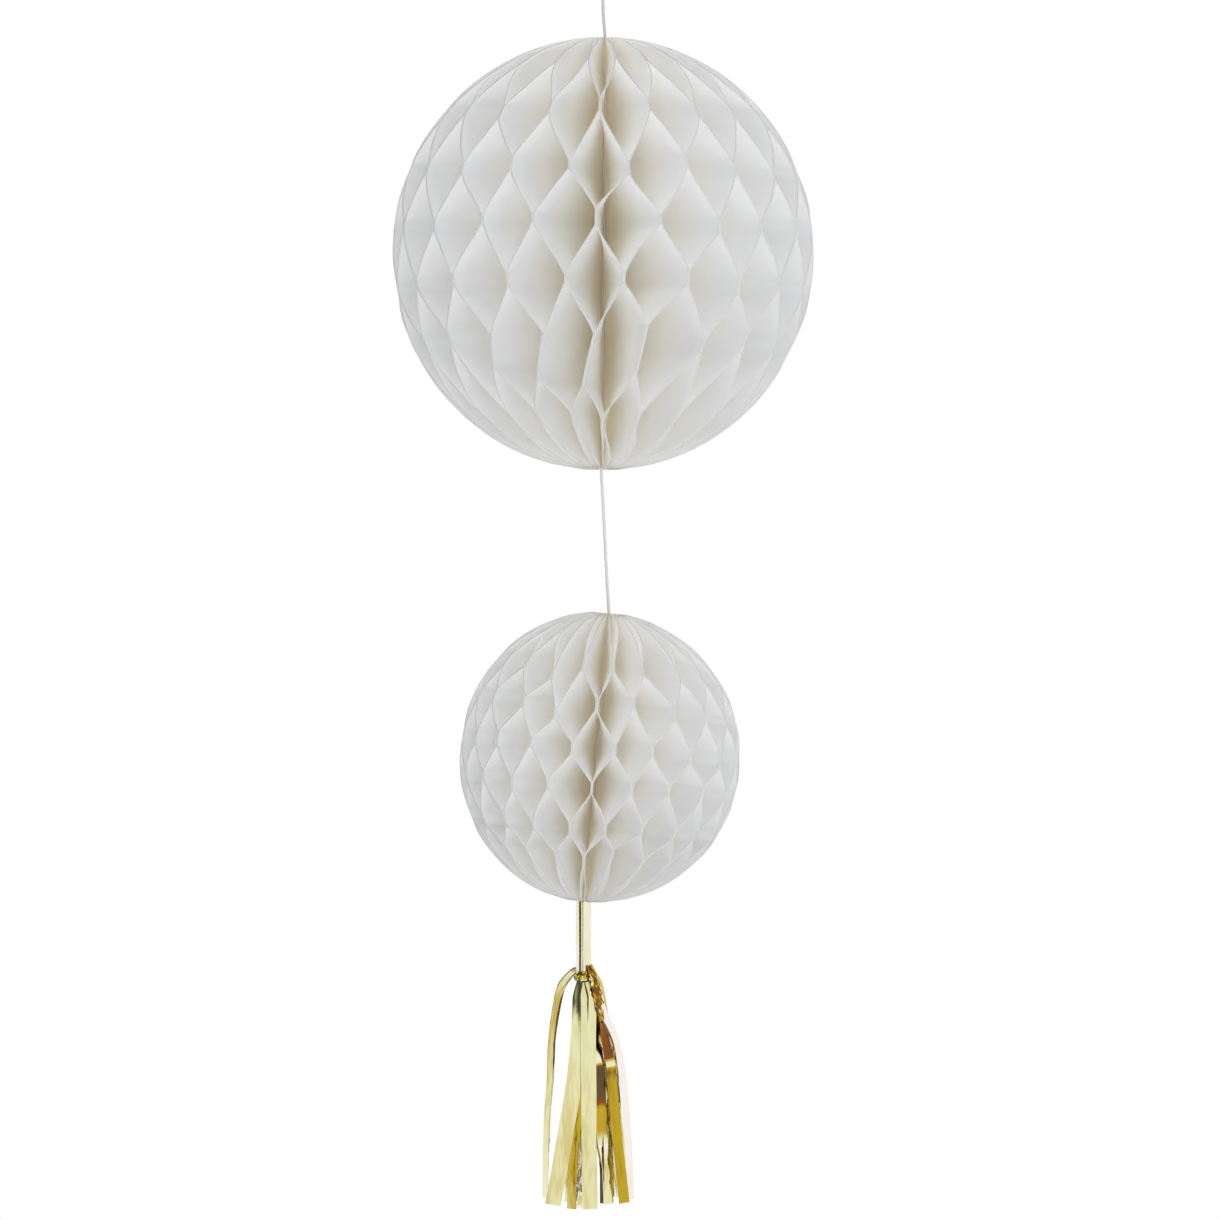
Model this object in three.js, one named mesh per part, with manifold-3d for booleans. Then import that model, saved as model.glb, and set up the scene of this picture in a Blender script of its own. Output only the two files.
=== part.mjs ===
// Hanging tissue paper pom pom: two honeycomb balls strung one above the other on a white
// cord, with a gold foil tassel below them and a tied loop above them.
// Millimetres, +Z up, seen from -Y. The origin is the inside of the loop's top, where a hook
// holds the whole string.

import * as THREE from 'three';
import { mergeVertices } from 'three/addons/utils/BufferGeometryUtils.js';
import Module from 'manifold-3d';

const wasm = await Module();
wasm.setup();

// Fits shared by all the pieces
const seatGap = 0.3;
const cordClearance = 0.3;

// Cord
const cordDiameter = 2.2;
const cordSides = 8;
const cordSteps = 72;
const loopSteps = 26;

// Knot under the loop
const knotDiameter = 7.4;
const knotWaistDiameter = 6;
const knotEndDiameter = 4.2;
const knotShoulder = 1.5;

// Tissue leaves and the sewn spine that they open from. Two leaves make one column of cells.
const cellColumns = 20;
const leafThickness = 0.4;
const leafRootGap = 0.26;
const poleRim = 5.5;
const poleDimple = 1;

// Large ball. Its top free height is the paper between its pole and its first row of glue.
const largeDiameter = 300;
const largeHeight = 308;
const largeRowPitch = 41;
const largeGlueHeight = 10.5;
const largeTopFree = 4.75;
const largeSeamDeg = 186.2;
const largeCrowding = 0.14;

// Small ball. It stands out further from its spine on the right than on the left.
const smallDiameter = 200;
const smallHeight = 207;
const smallRowPitch = 28.2;
const smallGlueHeight = 7.4;
const smallTopFree = 8;
const smallSeamDeg = 186.8;
const smallCrowding = 0.1;
const smallBulge = 2.8;

// Cover cards that close each ball at its back
const cardThickness = 0.5;
const cardSpineGap = 8.5;
const cardRimInset = 1.5;

// Foil tassel
const neckDiameter = 11.5;
const neckLength = 56;
const neckWrapStep = 0.5;
const neckWrapDeg = -26;
const neckBelowBand = 2;
const bandHeight = 7;
const bandThickness = 1.3;
const bandCreaseThickness = 0.8;
const stripDrop = 160;
const stripReach = 30;
const stripWidth = 11;
const stripRootWidth = 4.5;
const stripThickness = 0.35;
const stripRootInset = 2.2;
const stripRootSink = 3;
const stripOpening = 32;
const stripSteps = 9;

// Cord route, from under the knot down to its end inside the tassel's neck
const largeTopPole = [2.2, 0, -88.5];
const largeBottomPole = [-0.5, 0, -393.5];
const smallTopPole = [4.8, 0, -498.1];
const smallBottomPole = [-13.3, 0, -701.2];
const cordRoute = [
  [0.3, 0, -55.3],
  [1.0, 0, -70],
  largeTopPole,
  [2.1, 0, -100],
  [0.85, 0, -241],
  [-0.4, 0, -382],
  largeBottomPole,
  [0.9, 0, -420],
  [3.5, 0, -472],
  smallTopPole,
  [3.74, 0, -510],
  [-4.28, 0, -600],
  [-12.3, 0, -690],
  smallBottomPole,
  [-13.3, 0, -716],
  [-13.3, 0, -741],
];

// Loop route, up from the knot, over the hook and down to the knot again
const loopRoute = [
  [-1.4, 0, -45.7],
  [-4.2, 0.2, -38],
  [-8.6, 0.4, -26],
  [-10.6, 0, -14],
  [-7.4, -0.3, -3.6],
  [0, 0, 1.1],
  [7.2, 0.3, -3.4],
  [10.4, 0.2, -14],
  [8.4, -0.3, -26],
  [4.0, -0.2, -38],
  [1.4, 0, -45.7],
];

// Tassel strips: where each tip hangs from the neck's axis (x to the right, y to the back) and
// how far it drops, as shares of the strips' reach and drop, how late it spreads, and how far
// its face turns on the way down
const strips = [
  { x: -0.92, y: -0.17, drop: 0.97, spread: 0.45, turnDeg: 25 },
  { x: -0.72, y: -0.43, drop: 1, spread: 1.9, turnDeg: 20 },
  { x: 0.15, y: -0.5, drop: 1.025, spread: 1.1, turnDeg: -15 },
  { x: -0.27, y: -0.23, drop: 1.02, spread: 1.2, turnDeg: 70 },
  { x: 0.61, y: -0.23, drop: 1.005, spread: 1.2, turnDeg: 60 },
  { x: 0.97, y: -0.47, drop: 1, spread: 1.1, turnDeg: -40 },
  { x: 1.17, y: 0, drop: 0.98, spread: 0.8, turnDeg: -85 },
  { x: 0.83, y: 0.43, drop: 0.965, spread: 0.9, turnDeg: 40 },
  { x: 0.4, y: 0.67, drop: 1.01, spread: 1.2, turnDeg: -30 },
  { x: -0.08, y: 0.4, drop: 0.99, spread: 0.9, turnDeg: 50 },
  { x: -0.27, y: 0.73, drop: 1, spread: 1.3, turnDeg: 20 },
  { x: -0.67, y: 0.47, drop: 0.98, spread: 0.9, turnDeg: -45 },
  { x: -0.97, y: 0.17, drop: 0.93, spread: 0.7, turnDeg: 35 },
];

const tissue = { color: 0xece6da, roughness: 0.9, metalness: 0 };
const whiteCard = { color: 0xf1eee8, roughness: 0.8, metalness: 0 };
const whiteCord = { color: 0xf2f1ee, roughness: 0.85, metalness: 0 };
const goldFoil = { color: 0xd8c98a, roughness: 0.2, metalness: 1, side: THREE.DoubleSide };

const { degToRad: radians, lerp } = THREE.MathUtils;
const toVector = ([x, y, z]) => new THREE.Vector3(x, y, z);
const roundSides = 20;

const cordRadius = cordDiameter / 2;
const boreRadius = cordRadius + cordClearance;
const leafCount = 2 * cellColumns;
const closureHalfWidth = seatGap / 2 + cardThickness + seatGap;

// The spine is thick enough for the cards and the first two leaves to stand side by side on it.
const spineRadius = (closureHalfWidth + 2 * leafThickness + leafRootGap)
  / Math.sin((2 * Math.PI) / cellColumns);
const poleRadius = spineRadius + poleRim;

function named(name, geometry, finish) {
  const mesh = new THREE.Mesh(geometry, new THREE.MeshStandardMaterial(finish));
  mesh.name = name;
  return mesh;
}

// Directions seen from above: 0 degrees is the front (-Y) and 90 degrees is the right (+X).
function outward(angle) {
  return new THREE.Vector3(Math.sin(angle), -Math.cos(angle), 0);
}

function sideways(angle) {
  return new THREE.Vector3(Math.cos(angle), Math.sin(angle), 0);
}

// A round tube along a hand-laid route
function cordTube(route, steps) {
  const section = new THREE.Shape();
  for (let side = 0; side < cordSides; side += 1) {
    const angle = (side / cordSides) * 2 * Math.PI;
    const corner = [cordRadius * Math.cos(angle), cordRadius * Math.sin(angle)];
    if (side === 0) section.moveTo(...corner);
    else section.lineTo(...corner);
  }
  section.closePath();
  const extrudePath = new THREE.CatmullRomCurve3(route.map(toVector));
  return new THREE.ExtrudeGeometry(section, { steps, extrudePath, bevelEnabled: false });
}

// An overhand knot drawn tight, as two wraps with a waist between them
function knot() {
  const bottom = cordRoute[0][2] + seatGap;
  const height = loopRoute[0][2] - seatGap - bottom;
  const waist = height / 2;
  const profile = [
    [0, 0],
    [knotEndDiameter, 0],
    [knotDiameter, knotShoulder],
    [knotDiameter, waist - knotShoulder],
    [knotWaistDiameter, waist],
    [knotDiameter, waist + knotShoulder],
    [knotDiameter, height - knotShoulder],
    [knotEndDiameter, height],
    [0, height],
  ].map(([diameter, z]) => new THREE.Vector2(diameter / 2, z));
  const geometry = new THREE.LatheGeometry(profile, roundSides).rotateX(Math.PI / 2);
  return geometry.translate(cordRoute[0][0], 0, bottom);
}

// Honeycomb ball
// Its leaves stand upright round the spine. Rows of glue join each leaf to its neighbour on one
// side, and the next rows join it to its neighbour on the other side, so that the leaves
// zigzag and open into cells. Places round the ball are counted in leaves from the seam.

class HoneycombBall {
  constructor(sizes) {
    Object.assign(this, sizes);
    this.pole = this.rimHeight(poleRadius);
    this.levels = this.buildLevels();
  }

  // Half height of the ball's outline at a distance from its axis
  rimHeight(radius) {
    return (this.height / 2) * Math.sqrt(1 - (radius / (this.diameter / 2)) ** 2);
  }

  rimRadius(z) {
    return (this.diameter / 2) * Math.sqrt(Math.max(0, 1 - (z / (this.height / 2)) ** 2));
  }

  // Angle round the axis of a place. The leaves crowd together at the front, most at the bottom.
  angle(place, z) {
    const fromFront = (place / leafCount - 0.5) * 2 * Math.PI;
    const crowding = this.crowding * (0.5 - z / this.height);
    return radians(this.seamDeg) - Math.PI + fromFront - crowding * Math.sin(fromFront);
  }

  // Place and two side offsets of a leaf where it is free
  freeLeaf(leaf) {
    return { place: leaf + 0.5, left: -leafThickness / 2, right: leafThickness / 2 };
  }

  // The same where a row of glue holds it. An even row joins leaves 0 and 1, 2 and 3, and so
  // on. An odd row joins 1 and 2, 3 and 4, and so on, and the first and last leaf to the cards.
  gluedLeaf(leaf, rowParity) {
    const isRightOfPair = leaf % 2 !== rowParity;
    const place = isRightOfPair ? leaf : leaf + 1;
    let left = isRightOfPair ? 0 : -leafThickness;
    if (place === 0) left = closureHalfWidth;
    if (place === leafCount) left = -closureHalfWidth - leafThickness;
    return { place, left, right: left + leafThickness };
  }

  // Whether a row of glue joins a leaf to the next one. Its parity is 0, 1 or, with no row, null.
  isJoined(leaf, rowParity) {
    return leaf !== leafCount - 1 && leaf % 2 === rowParity;
  }

  // Heights at which the leaves are measured, from the bottom pole to the top pole
  buildLevels() {
    const leaves = [...Array(leafCount).keys()];
    const free = leaves.map((leaf) => this.freeLeaf(leaf));
    const levels = [{ z: this.pole, glue: null, leaves: free }];
    let z = this.pole - this.topFree;
    let parity = this.topRowParity;
    while (z - this.glueHeight > -this.pole + poleDimple) {
      const glued = leaves.map((leaf) => this.gluedLeaf(leaf, parity));
      levels.unshift({ z, glue: parity, leaves: glued });
      levels.unshift({ z: z - this.glueHeight, glue: parity, leaves: glued });
      z -= this.rowPitch;
      parity = 1 - parity;
    }
    levels.unshift({ z: -this.pole, glue: null, leaves: free });
    return this.roundedLevels(levels);
  }

  // Extra heights between two levels that are far apart on the round outline
  roundedLevels(levels) {
    const longestStep = radians(16);
    const rise = (z) => Math.asin(z / (this.height / 2));
    const rounded = [levels[0]];
    for (let k = 1; k < levels.length; k += 1) {
      const [from, to] = [levels[k - 1], levels[k]];
      const glue = from.glue === to.glue ? from.glue : null;
      const count = Math.ceil((rise(to.z) - rise(from.z)) / longestStep);
      for (let step = 1; step < count; step += 1) {
        const z = (this.height / 2) * Math.sin(lerp(rise(from.z), rise(to.z), step / count));
        const share = (z - from.z) / (to.z - from.z);
        const leaves = from.leaves.map((leaf, n) => ({
          place: lerp(leaf.place, to.leaves[n].place, share),
          left: lerp(leaf.left, to.leaves[n].left, share),
          right: lerp(leaf.right, to.leaves[n].right, share),
        }));
        rounded.push({ z, glue, leaves });
      }
      rounded.push(to);
    }
    return rounded;
  }

  point(level, place, offset, radius, z) {
    const angle = this.angle(place, level.z);
    return outward(angle).multiplyScalar(radius).addScaledVector(sideways(angle), offset).setZ(z);
  }

  // The four upright edges of a leaf at one level: spine and rim, left and right
  edges(level, leaf) {
    const { place, left, right } = level.leaves[leaf];
    const rim = this.rimRadius(level.z);
    const bulge = this.bulge * Math.sin(this.angle(place, level.z)) * (rim / (this.diameter / 2));
    const isPole = Math.abs(level.z) === this.pole;
    const spineZ = isPole ? level.z - Math.sign(level.z) * poleDimple : level.z;
    return {
      spineLeft: this.point(level, place, left, spineRadius, spineZ),
      spineRight: this.point(level, place, right, spineRadius, spineZ),
      rimLeft: this.point(level, place, left, rim + bulge, level.z),
      rimRight: this.point(level, place, right, rim + bulge, level.z),
    };
  }

  geometry() {
    const corners = [];
    const triangle = (a, b, c) => {
      if (a.equals(b) || b.equals(c) || c.equals(a)) return;
      for (const corner of [a, b, c]) corners.push(corner.x, corner.y, corner.z);
    };
    const quad = (a, b, c, d) => {
      triangle(a, b, c);
      triangle(a, c, d);
    };
    const rings = this.levels.map((level) =>
      level.leaves.map((_, leaf) => this.edges(level, leaf)));

    for (let k = 1; k < rings.length; k += 1) {
      const glue = this.levels[k - 1].glue === this.levels[k].glue ? this.levels[k].glue : null;
      for (let leaf = 0; leaf < leafCount; leaf += 1) {
        const next = (leaf + 1) % leafCount;
        const previous = (leaf + leafCount - 1) % leafCount;
        const [low, high] = [rings[k - 1][leaf], rings[k][leaf]];
        const [lowNext, highNext] = [rings[k - 1][next], rings[k][next]];
        quad(low.rimLeft, low.rimRight, high.rimRight, high.rimLeft);
        if (!this.isJoined(previous, glue)) {
          quad(low.spineLeft, low.rimLeft, high.rimLeft, high.spineLeft);
        }
        if (!this.isJoined(leaf, glue)) {
          quad(low.spineRight, high.spineRight, high.rimRight, low.rimRight);
          quad(low.spineRight, lowNext.spineLeft, highNext.spineLeft, high.spineRight);
        }
      }
    }

    const [bottom, top] = [rings[0], rings.at(-1)];
    for (let leaf = 0; leaf < leafCount; leaf += 1) {
      const [b, t] = [bottom[leaf], top[leaf]];
      quad(t.spineLeft, t.rimLeft, t.rimRight, t.spineRight);
      quad(b.spineLeft, b.spineRight, b.rimRight, b.rimLeft);
    }
    this.addBore(quad, bottom, top);
    return mergeVertices(new THREE.BufferGeometry().setAttribute(
      'position', new THREE.Float32BufferAttribute(corners, 3)));
  }

  // The cord's hole down the spine, and the spine's two ends round it
  addBore(quad, bottom, top) {
    const spineOutline = (ring) => ring.flatMap((leaf) => [leaf.spineLeft, leaf.spineRight]);
    const boreOutline = (outline) => outline.map((corner) =>
      corner.clone().setZ(0).setLength(boreRadius).setZ(corner.z));
    const [low, high] = [spineOutline(bottom), spineOutline(top)];
    const highBore = boreOutline(high);
    const lowBore = highBore.map((corner) => corner.clone().setZ(low[0].z));
    for (let k = 0; k < high.length; k += 1) {
      const next = (k + 1) % high.length;
      quad(highBore[k], high[k], high[next], highBore[next]);
      quad(lowBore[k], lowBore[next], low[next], low[k]);
      quad(lowBore[k], highBore[k], highBore[next], lowBore[next]);
    }
  }

  // A half-round cover card in the seam, on side -1 or +1 of it
  card(side) {
    const rim = this.diameter / 2 - cardRimInset;
    const rimHeight = this.height / 2 - cardRimInset;
    const start = Math.acos((spineRadius + cardSpineGap) / rim);
    const outline = new THREE.Shape();
    outline.absellipse(0, 0, rim, rimHeight, -start, start);
    outline.closePath();
    const geometry = new THREE.ExtrudeGeometry(outline, {
      depth: cardThickness, bevelEnabled: false, curveSegments: 32,
    });
    const near = side < 0 ? -seatGap / 2 - cardThickness : seatGap / 2;
    const seam = this.angle(0, 0);
    const up = new THREE.Vector3(0, 0, 1);
    const across = outward(seam).cross(up);
    const stand = new THREE.Matrix4().makeBasis(outward(seam), up, across);
    return geometry.translate(0, 0, near).applyMatrix4(stand);
  }

  // The ball and its two cards, with the top pole on the cord's route
  strung(name, topPole, bottomPole) {
    const group = new THREE.Group();
    group.add(
      named(`${name}_ball`, this.geometry(), tissue),
      named(`${name}_ball_left_card`, this.card(1), whiteCard),
      named(`${name}_ball_right_card`, this.card(-1), whiteCard),
    );
    const along = toVector(topPole).sub(toVector(bottomPole)).normalize();
    group.rotation.y = Math.atan2(along.x, along.z);
    group.position.copy(toVector(topPole).addScaledVector(along, poleDimple - this.pole));
    return group;
  }

  // Where the cord leaves the ball below
  lowerPole(topPole, bottomPole) {
    const down = toVector(bottomPole).sub(toVector(topPole)).normalize();
    return toVector(topPole).addScaledVector(down, 2 * (this.pole - poleDimple));
  }
}

// A closed three.js shape as a solid that can be joined and cut, and back again
function toSolid(geometry) {
  const plain = geometry.clone();
  plain.deleteAttribute('normal');
  plain.deleteAttribute('uv');
  const merged = mergeVertices(plain);
  return new wasm.Manifold(new wasm.Mesh({
    numProp: 3,
    vertProperties: merged.attributes.position.array,
    triVerts: new Uint32Array(merged.index.array),
  }));
}

function toGeometry(solid) {
  const { vertProperties, triVerts } = solid.getMesh();
  const geometry = new THREE.BufferGeometry();
  geometry.setAttribute('position', new THREE.BufferAttribute(vertProperties, 3));
  geometry.setIndex(new THREE.BufferAttribute(triVerts, 1));
  return geometry;
}

// The tassel's neck, a sheet of film rolled up, with the edge of its last turn showing
function rolledNeck() {
  const corners = 30;
  const section = new THREE.Shape();
  for (let k = 0; k <= corners; k += 1) {
    const turn = k / corners;
    const radius = neckDiameter / 2 - neckWrapStep * (1 - turn);
    const corner = outward(radians(neckWrapDeg) + turn * 2 * Math.PI).multiplyScalar(radius);
    if (k === 0) section.moveTo(corner.x, corner.y);
    else section.lineTo(corner.x, corner.y);
  }
  section.closePath();
  const roll = new THREE.ExtrudeGeometry(section, { depth: neckLength, bevelEnabled: false });
  return roll.translate(0, 0, -neckLength);
}

// Both faces of a bar are split into the same triangles, so that it keeps its thickness where
// it is turned. Face 3 of a box is the lower one of the pair.
function splitBackLikeFront(bar) {
  const { start, count } = bar.groups[3];
  for (let k = start; k < start + count; k += 6) {
    const [a, b, d, , c] = bar.index.array.slice(k, k + 6);
    bar.index.array.set([a, b, c, a, c, d], k);
  }
}

// One strip of film, bent from a flat bar so that it leaves the neck and hangs
function hangingStrip({ x, y, drop, spread, turnDeg }) {
  const bar = new THREE.BoxGeometry(1, stripThickness, 1, 1, 1, stripSteps);
  splitBackLikeFront(bar);
  const rootAngle = Math.atan2(x, -y);
  const rootRadius = neckDiameter / 2 - neckWrapStep - stripRootInset;
  const root = outward(rootAngle).multiplyScalar(rootRadius);
  const length = drop * stripDrop + stripRootSink;
  const nearby = 0.01;
  const centre = (share) => new THREE.Vector3(
    lerp(root.x, x * stripReach, share ** spread),
    lerp(root.y, y * stripReach, share ** spread),
    stripRootSink - neckLength - length * share,
  );
  const position = bar.attributes.position;
  for (let k = 0; k < position.count; k += 1) {
    const share = 0.5 - position.getZ(k);
    const along = centre(share + nearby).sub(centre(Math.max(0, share - nearby))).normalize();
    const across = sideways(rootAngle + radians(turnDeg) * share);
    const face = across.clone().cross(along).normalize();
    const opened = THREE.MathUtils.smoothstep(share * length, 0, stripOpening);
    const width = lerp(stripRootWidth, stripWidth, opened);
    const corner = centre(share)
      .addScaledVector(across, position.getX(k) * width)
      .addScaledVector(face, position.getY(k));
    position.setXYZ(k, corner.x, corner.y, corner.z);
  }
  return bar;
}

// The neck and the strips are one sheet. A blind hole in the neck takes the cord's end.
function tasselSolid(topZ) {
  const boreDepth = topZ - cordRoute.at(-1)[2] + seatGap;
  const bore = new THREE.CylinderGeometry(boreRadius, boreRadius, 2 * boreDepth, roundSides);
  let solid = toSolid(rolledNeck());
  for (const strip of strips) {
    solid = solid.add(toSolid(hangingStrip(strip)));
  }
  return toGeometry(solid.subtract(toSolid(bore.rotateX(Math.PI / 2))));
}

// The crumpled band round the foot of the neck
function tasselBand() {
  const inner = neckDiameter / 2 + seatGap;
  const puffs = 2;
  const profile = [new THREE.Vector2(inner, 0)];
  for (let k = 0; k <= 2 * puffs; k += 1) {
    const thickness = k % 2 === 0 ? bandCreaseThickness : bandThickness;
    profile.push(new THREE.Vector2(inner + thickness, (k / (2 * puffs)) * bandHeight));
  }
  profile.push(new THREE.Vector2(inner, bandHeight), new THREE.Vector2(inner, 0));
  const ring = new THREE.LatheGeometry(profile, roundSides).rotateX(Math.PI / 2);
  return ring.translate(0, 0, neckBelowBand - neckLength);
}

const largeBall = new HoneycombBall({
  diameter: largeDiameter,
  height: largeHeight,
  rowPitch: largeRowPitch,
  glueHeight: largeGlueHeight,
  topFree: largeTopFree,
  topRowParity: 1,
  seamDeg: largeSeamDeg,
  crowding: largeCrowding,
  bulge: 0,
});

const smallBall = new HoneycombBall({
  diameter: smallDiameter,
  height: smallHeight,
  rowPitch: smallRowPitch,
  glueHeight: smallGlueHeight,
  topFree: smallTopFree,
  topRowParity: 0,
  seamDeg: smallSeamDeg,
  crowding: smallCrowding,
  bulge: smallBulge,
});

// The neck's flat top hangs just clear of the tilted pole above it.
const tassel = new THREE.Group();
tassel.position.copy(smallBall.lowerPole(smallTopPole, smallBottomPole));
tassel.position.z -= 2 * seatGap;
tassel.add(
  named('tassel', tasselSolid(tassel.position.z), goldFoil),
  named('tassel_band', tasselBand(), goldFoil),
);

const pomPom = new THREE.Group();
pomPom.add(
  named('hanging_loop', cordTube(loopRoute, loopSteps), whiteCord),
  named('loop_knot', knot(), whiteCord),
  named('hanging_cord', cordTube(cordRoute, cordSteps), whiteCord),
  largeBall.strung('large', largeTopPole, largeBottomPole),
  smallBall.strung('small', smallTopPole, smallBottomPole),
  tassel,
);

export default pomPom;
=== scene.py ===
"""Looks of the hanging tissue paper pom pom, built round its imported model.

Two ivory honeycomb balls hang one above the other on a white cord. A gold foil tassel hangs
below them, and a tied loop above them takes a hook. Everything is in metres, +Z up, seen from
-Y, with the origin inside the top of the loop.
"""

import logging
import math
from dataclasses import dataclass, field, replace
from enum import Enum
from random import Random
from typing import Any, Callable, Iterator

import bmesh
import bpy
from bmesh.types import BMVert, BMesh
from bpy.types import ID, Material, Node, NodeSocket, NodeTree, Object
from mathutils import Matrix, Vector, noise

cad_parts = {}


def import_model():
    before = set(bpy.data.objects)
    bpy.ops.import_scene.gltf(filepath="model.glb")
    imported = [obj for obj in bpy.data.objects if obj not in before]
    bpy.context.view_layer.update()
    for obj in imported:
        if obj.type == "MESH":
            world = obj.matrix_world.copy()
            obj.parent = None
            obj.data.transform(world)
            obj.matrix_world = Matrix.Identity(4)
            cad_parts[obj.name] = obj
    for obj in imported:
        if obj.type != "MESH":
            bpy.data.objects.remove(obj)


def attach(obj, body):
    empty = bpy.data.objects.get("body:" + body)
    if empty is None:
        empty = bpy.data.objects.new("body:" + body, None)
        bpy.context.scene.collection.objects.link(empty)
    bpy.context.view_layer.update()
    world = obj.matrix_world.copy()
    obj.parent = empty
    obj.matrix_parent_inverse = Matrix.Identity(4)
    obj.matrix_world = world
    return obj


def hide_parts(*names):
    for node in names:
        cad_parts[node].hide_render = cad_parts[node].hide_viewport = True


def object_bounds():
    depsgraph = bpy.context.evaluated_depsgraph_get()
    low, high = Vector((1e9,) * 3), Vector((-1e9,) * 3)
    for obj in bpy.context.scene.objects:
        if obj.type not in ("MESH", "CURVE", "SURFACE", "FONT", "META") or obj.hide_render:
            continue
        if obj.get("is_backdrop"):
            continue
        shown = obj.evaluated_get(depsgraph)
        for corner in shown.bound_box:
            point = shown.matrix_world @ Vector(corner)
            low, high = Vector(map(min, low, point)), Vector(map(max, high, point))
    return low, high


log = logging.getLogger("pom_pom")

BODY = "root"
MM = 0.001

CORD_DIAMETER = 2.2 * MM
LEAF_COUNT = 40
LEAF_THICKNESS = 0.4 * MM
SPINE_RADIUS = 6.5 * MM
POLE_RADIUS = 12.0 * MM
POLE_DIMPLE = 1.0 * MM
BORE_RADIUS = 1.4 * MM
CLOSURE_HALF_WIDTH = 0.95 * MM
LEAST_LEAF = 0.5 * MM
UP = Vector((0, 0, 1))
WHITE = (1, 1, 1, 1)
CURVE_STEPS = 40
WELD_DISTANCE = 1e-6
RIDGE_TRIES = 60
LEAF_TONES = (0.985, 1.0)
SPINE_TONE = 0.98
VALLEY_CONTRAST = 5

Spots = dict[BMVert, tuple[int, int]]
Colour = tuple[float, float, float, float]
Point = tuple[float, float, float]
Range = tuple[float, float]


class Slot(Enum):
    """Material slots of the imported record."""

    TISSUE = "tissue_paper"
    CARD = "cover_card"
    CORD = "white_cord"
    FOIL = "gold_foil"


class RowParity(Enum):
    """Which leaves a row of glue joins: 0 and 1, 2 and 3, or else 1 and 2, 3 and 4."""

    EVEN = 0
    ODD = 1

    def other(self) -> "RowParity":
        """The parity of the next row down."""
        return RowParity(1 - self.value)


# ---- Small tools for shapes ----


def mix(start: float, end: float, share: float) -> float:
    """The value that lies share of the way from start to end."""
    return start + (end - start) * share


def smooth(share: float) -> float:
    """A share from 0 to 1, eased at both ends."""
    held = min(1.0, max(0.0, share))
    return held * held * (3 - 2 * held)


def outward(angle: float) -> Vector:
    """The level direction at an angle from the front (-Y), turning towards +X."""
    return Vector((math.sin(angle), -math.cos(angle), 0))


def sideways(angle: float) -> Vector:
    """The level direction square to outward, towards growing angles."""
    return Vector((math.cos(angle), math.sin(angle), 0))


def route_points(route: list[Point], spacing: float) -> list[Vector]:
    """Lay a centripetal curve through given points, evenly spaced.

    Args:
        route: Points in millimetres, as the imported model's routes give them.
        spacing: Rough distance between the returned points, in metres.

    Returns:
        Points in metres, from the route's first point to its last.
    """
    laid = [Vector(point) * MM for point in route]
    held = [laid[0] * 2 - laid[1], *laid, laid[-1] * 2 - laid[-2]]
    fine = [laid[0]]
    for before, start, end, after in zip(held, held[1:], held[2:], held[3:]):
        spans = ((before, start), (start, end), (end, after))
        first, middle, last = (max((b - a).length, 1e-6) ** 0.5 for a, b in spans)
        straight = (end - start) / middle
        leave = (start - before) / first - (end - before) / (first + middle) + straight
        reach = straight - (after - start) / (middle + last) + (after - end) / last
        leave, reach = leave * middle, reach * middle
        for step in range(1, CURVE_STEPS + 1):
            t = step / CURVE_STEPS
            fine.append(
                start
                + leave * t
                + (3 * (end - start) - 2 * leave - reach) * t**2
                + (2 * (start - end) + leave + reach) * t**3
            )
    return evenly_spaced(fine, spacing)


def evenly_spaced(points: list[Vector], spacing: float) -> list[Vector]:
    """Resample a line of points so that its points are evenly spaced.

    Args:
        points: The line's points.
        spacing: Rough distance between the returned points.

    Returns:
        The new points, with the same two ends.
    """
    travelled = [0.0]
    for a, b in zip(points, points[1:]):
        travelled.append(travelled[-1] + (b - a).length)
    count = max(2, round(travelled[-1] / spacing))
    spaced, k = [], 0
    for step in range(count + 1):
        wanted = travelled[-1] * step / count
        while k < len(points) - 2 and travelled[k + 1] < wanted:
            k += 1
        gap = max(travelled[k + 1] - travelled[k], 1e-9)
        spaced.append(points[k].lerp(points[k + 1], min(1.0, (wanted - travelled[k]) / gap)))
    return spaced


def line_length(points: list[Vector]) -> float:
    """The length of a line of points."""
    return sum((b - a).length for a, b in zip(points, points[1:]))


def carried_axes(path: list[Vector]) -> list[tuple[Vector, Vector, Vector]]:
    """Carry a pair of cross axes along a path without twisting them.

    Args:
        path: The path's points.

    Returns:
        For each point, its direction and the two axes square to it.
    """
    axes = []
    for k in range(len(path)):
        along = (path[min(k + 1, len(path) - 1)] - path[max(k - 1, 0)]).normalized()
        if not axes:
            side = along.cross(Vector((0, 1, 0)) if abs(along.y) < 0.9 else UP).normalized()
        else:
            side = axes[-1][0].rotation_difference(along) @ axes[-1][1]
            side = (side - along * side.dot(along)).normalized()
        axes.append((along, side, along.cross(side)))
    return axes


def new_grid(bm: BMesh, columns: int, rows: int) -> Spots:
    """Add a flat grid with a UV map from 0 to 1, ready for its vertices to be moved.

    Args:
        bm: The mesh that the grid goes into.
        columns: Number of faces across.
        rows: Number of faces up.

    Returns:
        Each new vertex, with its column and row.
    """
    made = bmesh.ops.create_grid(bm, x_segments=columns, y_segments=rows, size=0.5)["verts"]
    spots = {
        vert: (round((vert.co.x + 0.5) * columns), round((vert.co.y + 0.5) * rows))
        for vert in made
    }
    uv_map = bm.loops.layers.uv.verify()
    for face in {face for vert in made for face in vert.link_faces}:
        for loop in face.loops:
            column, row = spots[loop.vert]
            loop[uv_map].uv = (column / columns, row / rows)
    return spots


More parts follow.
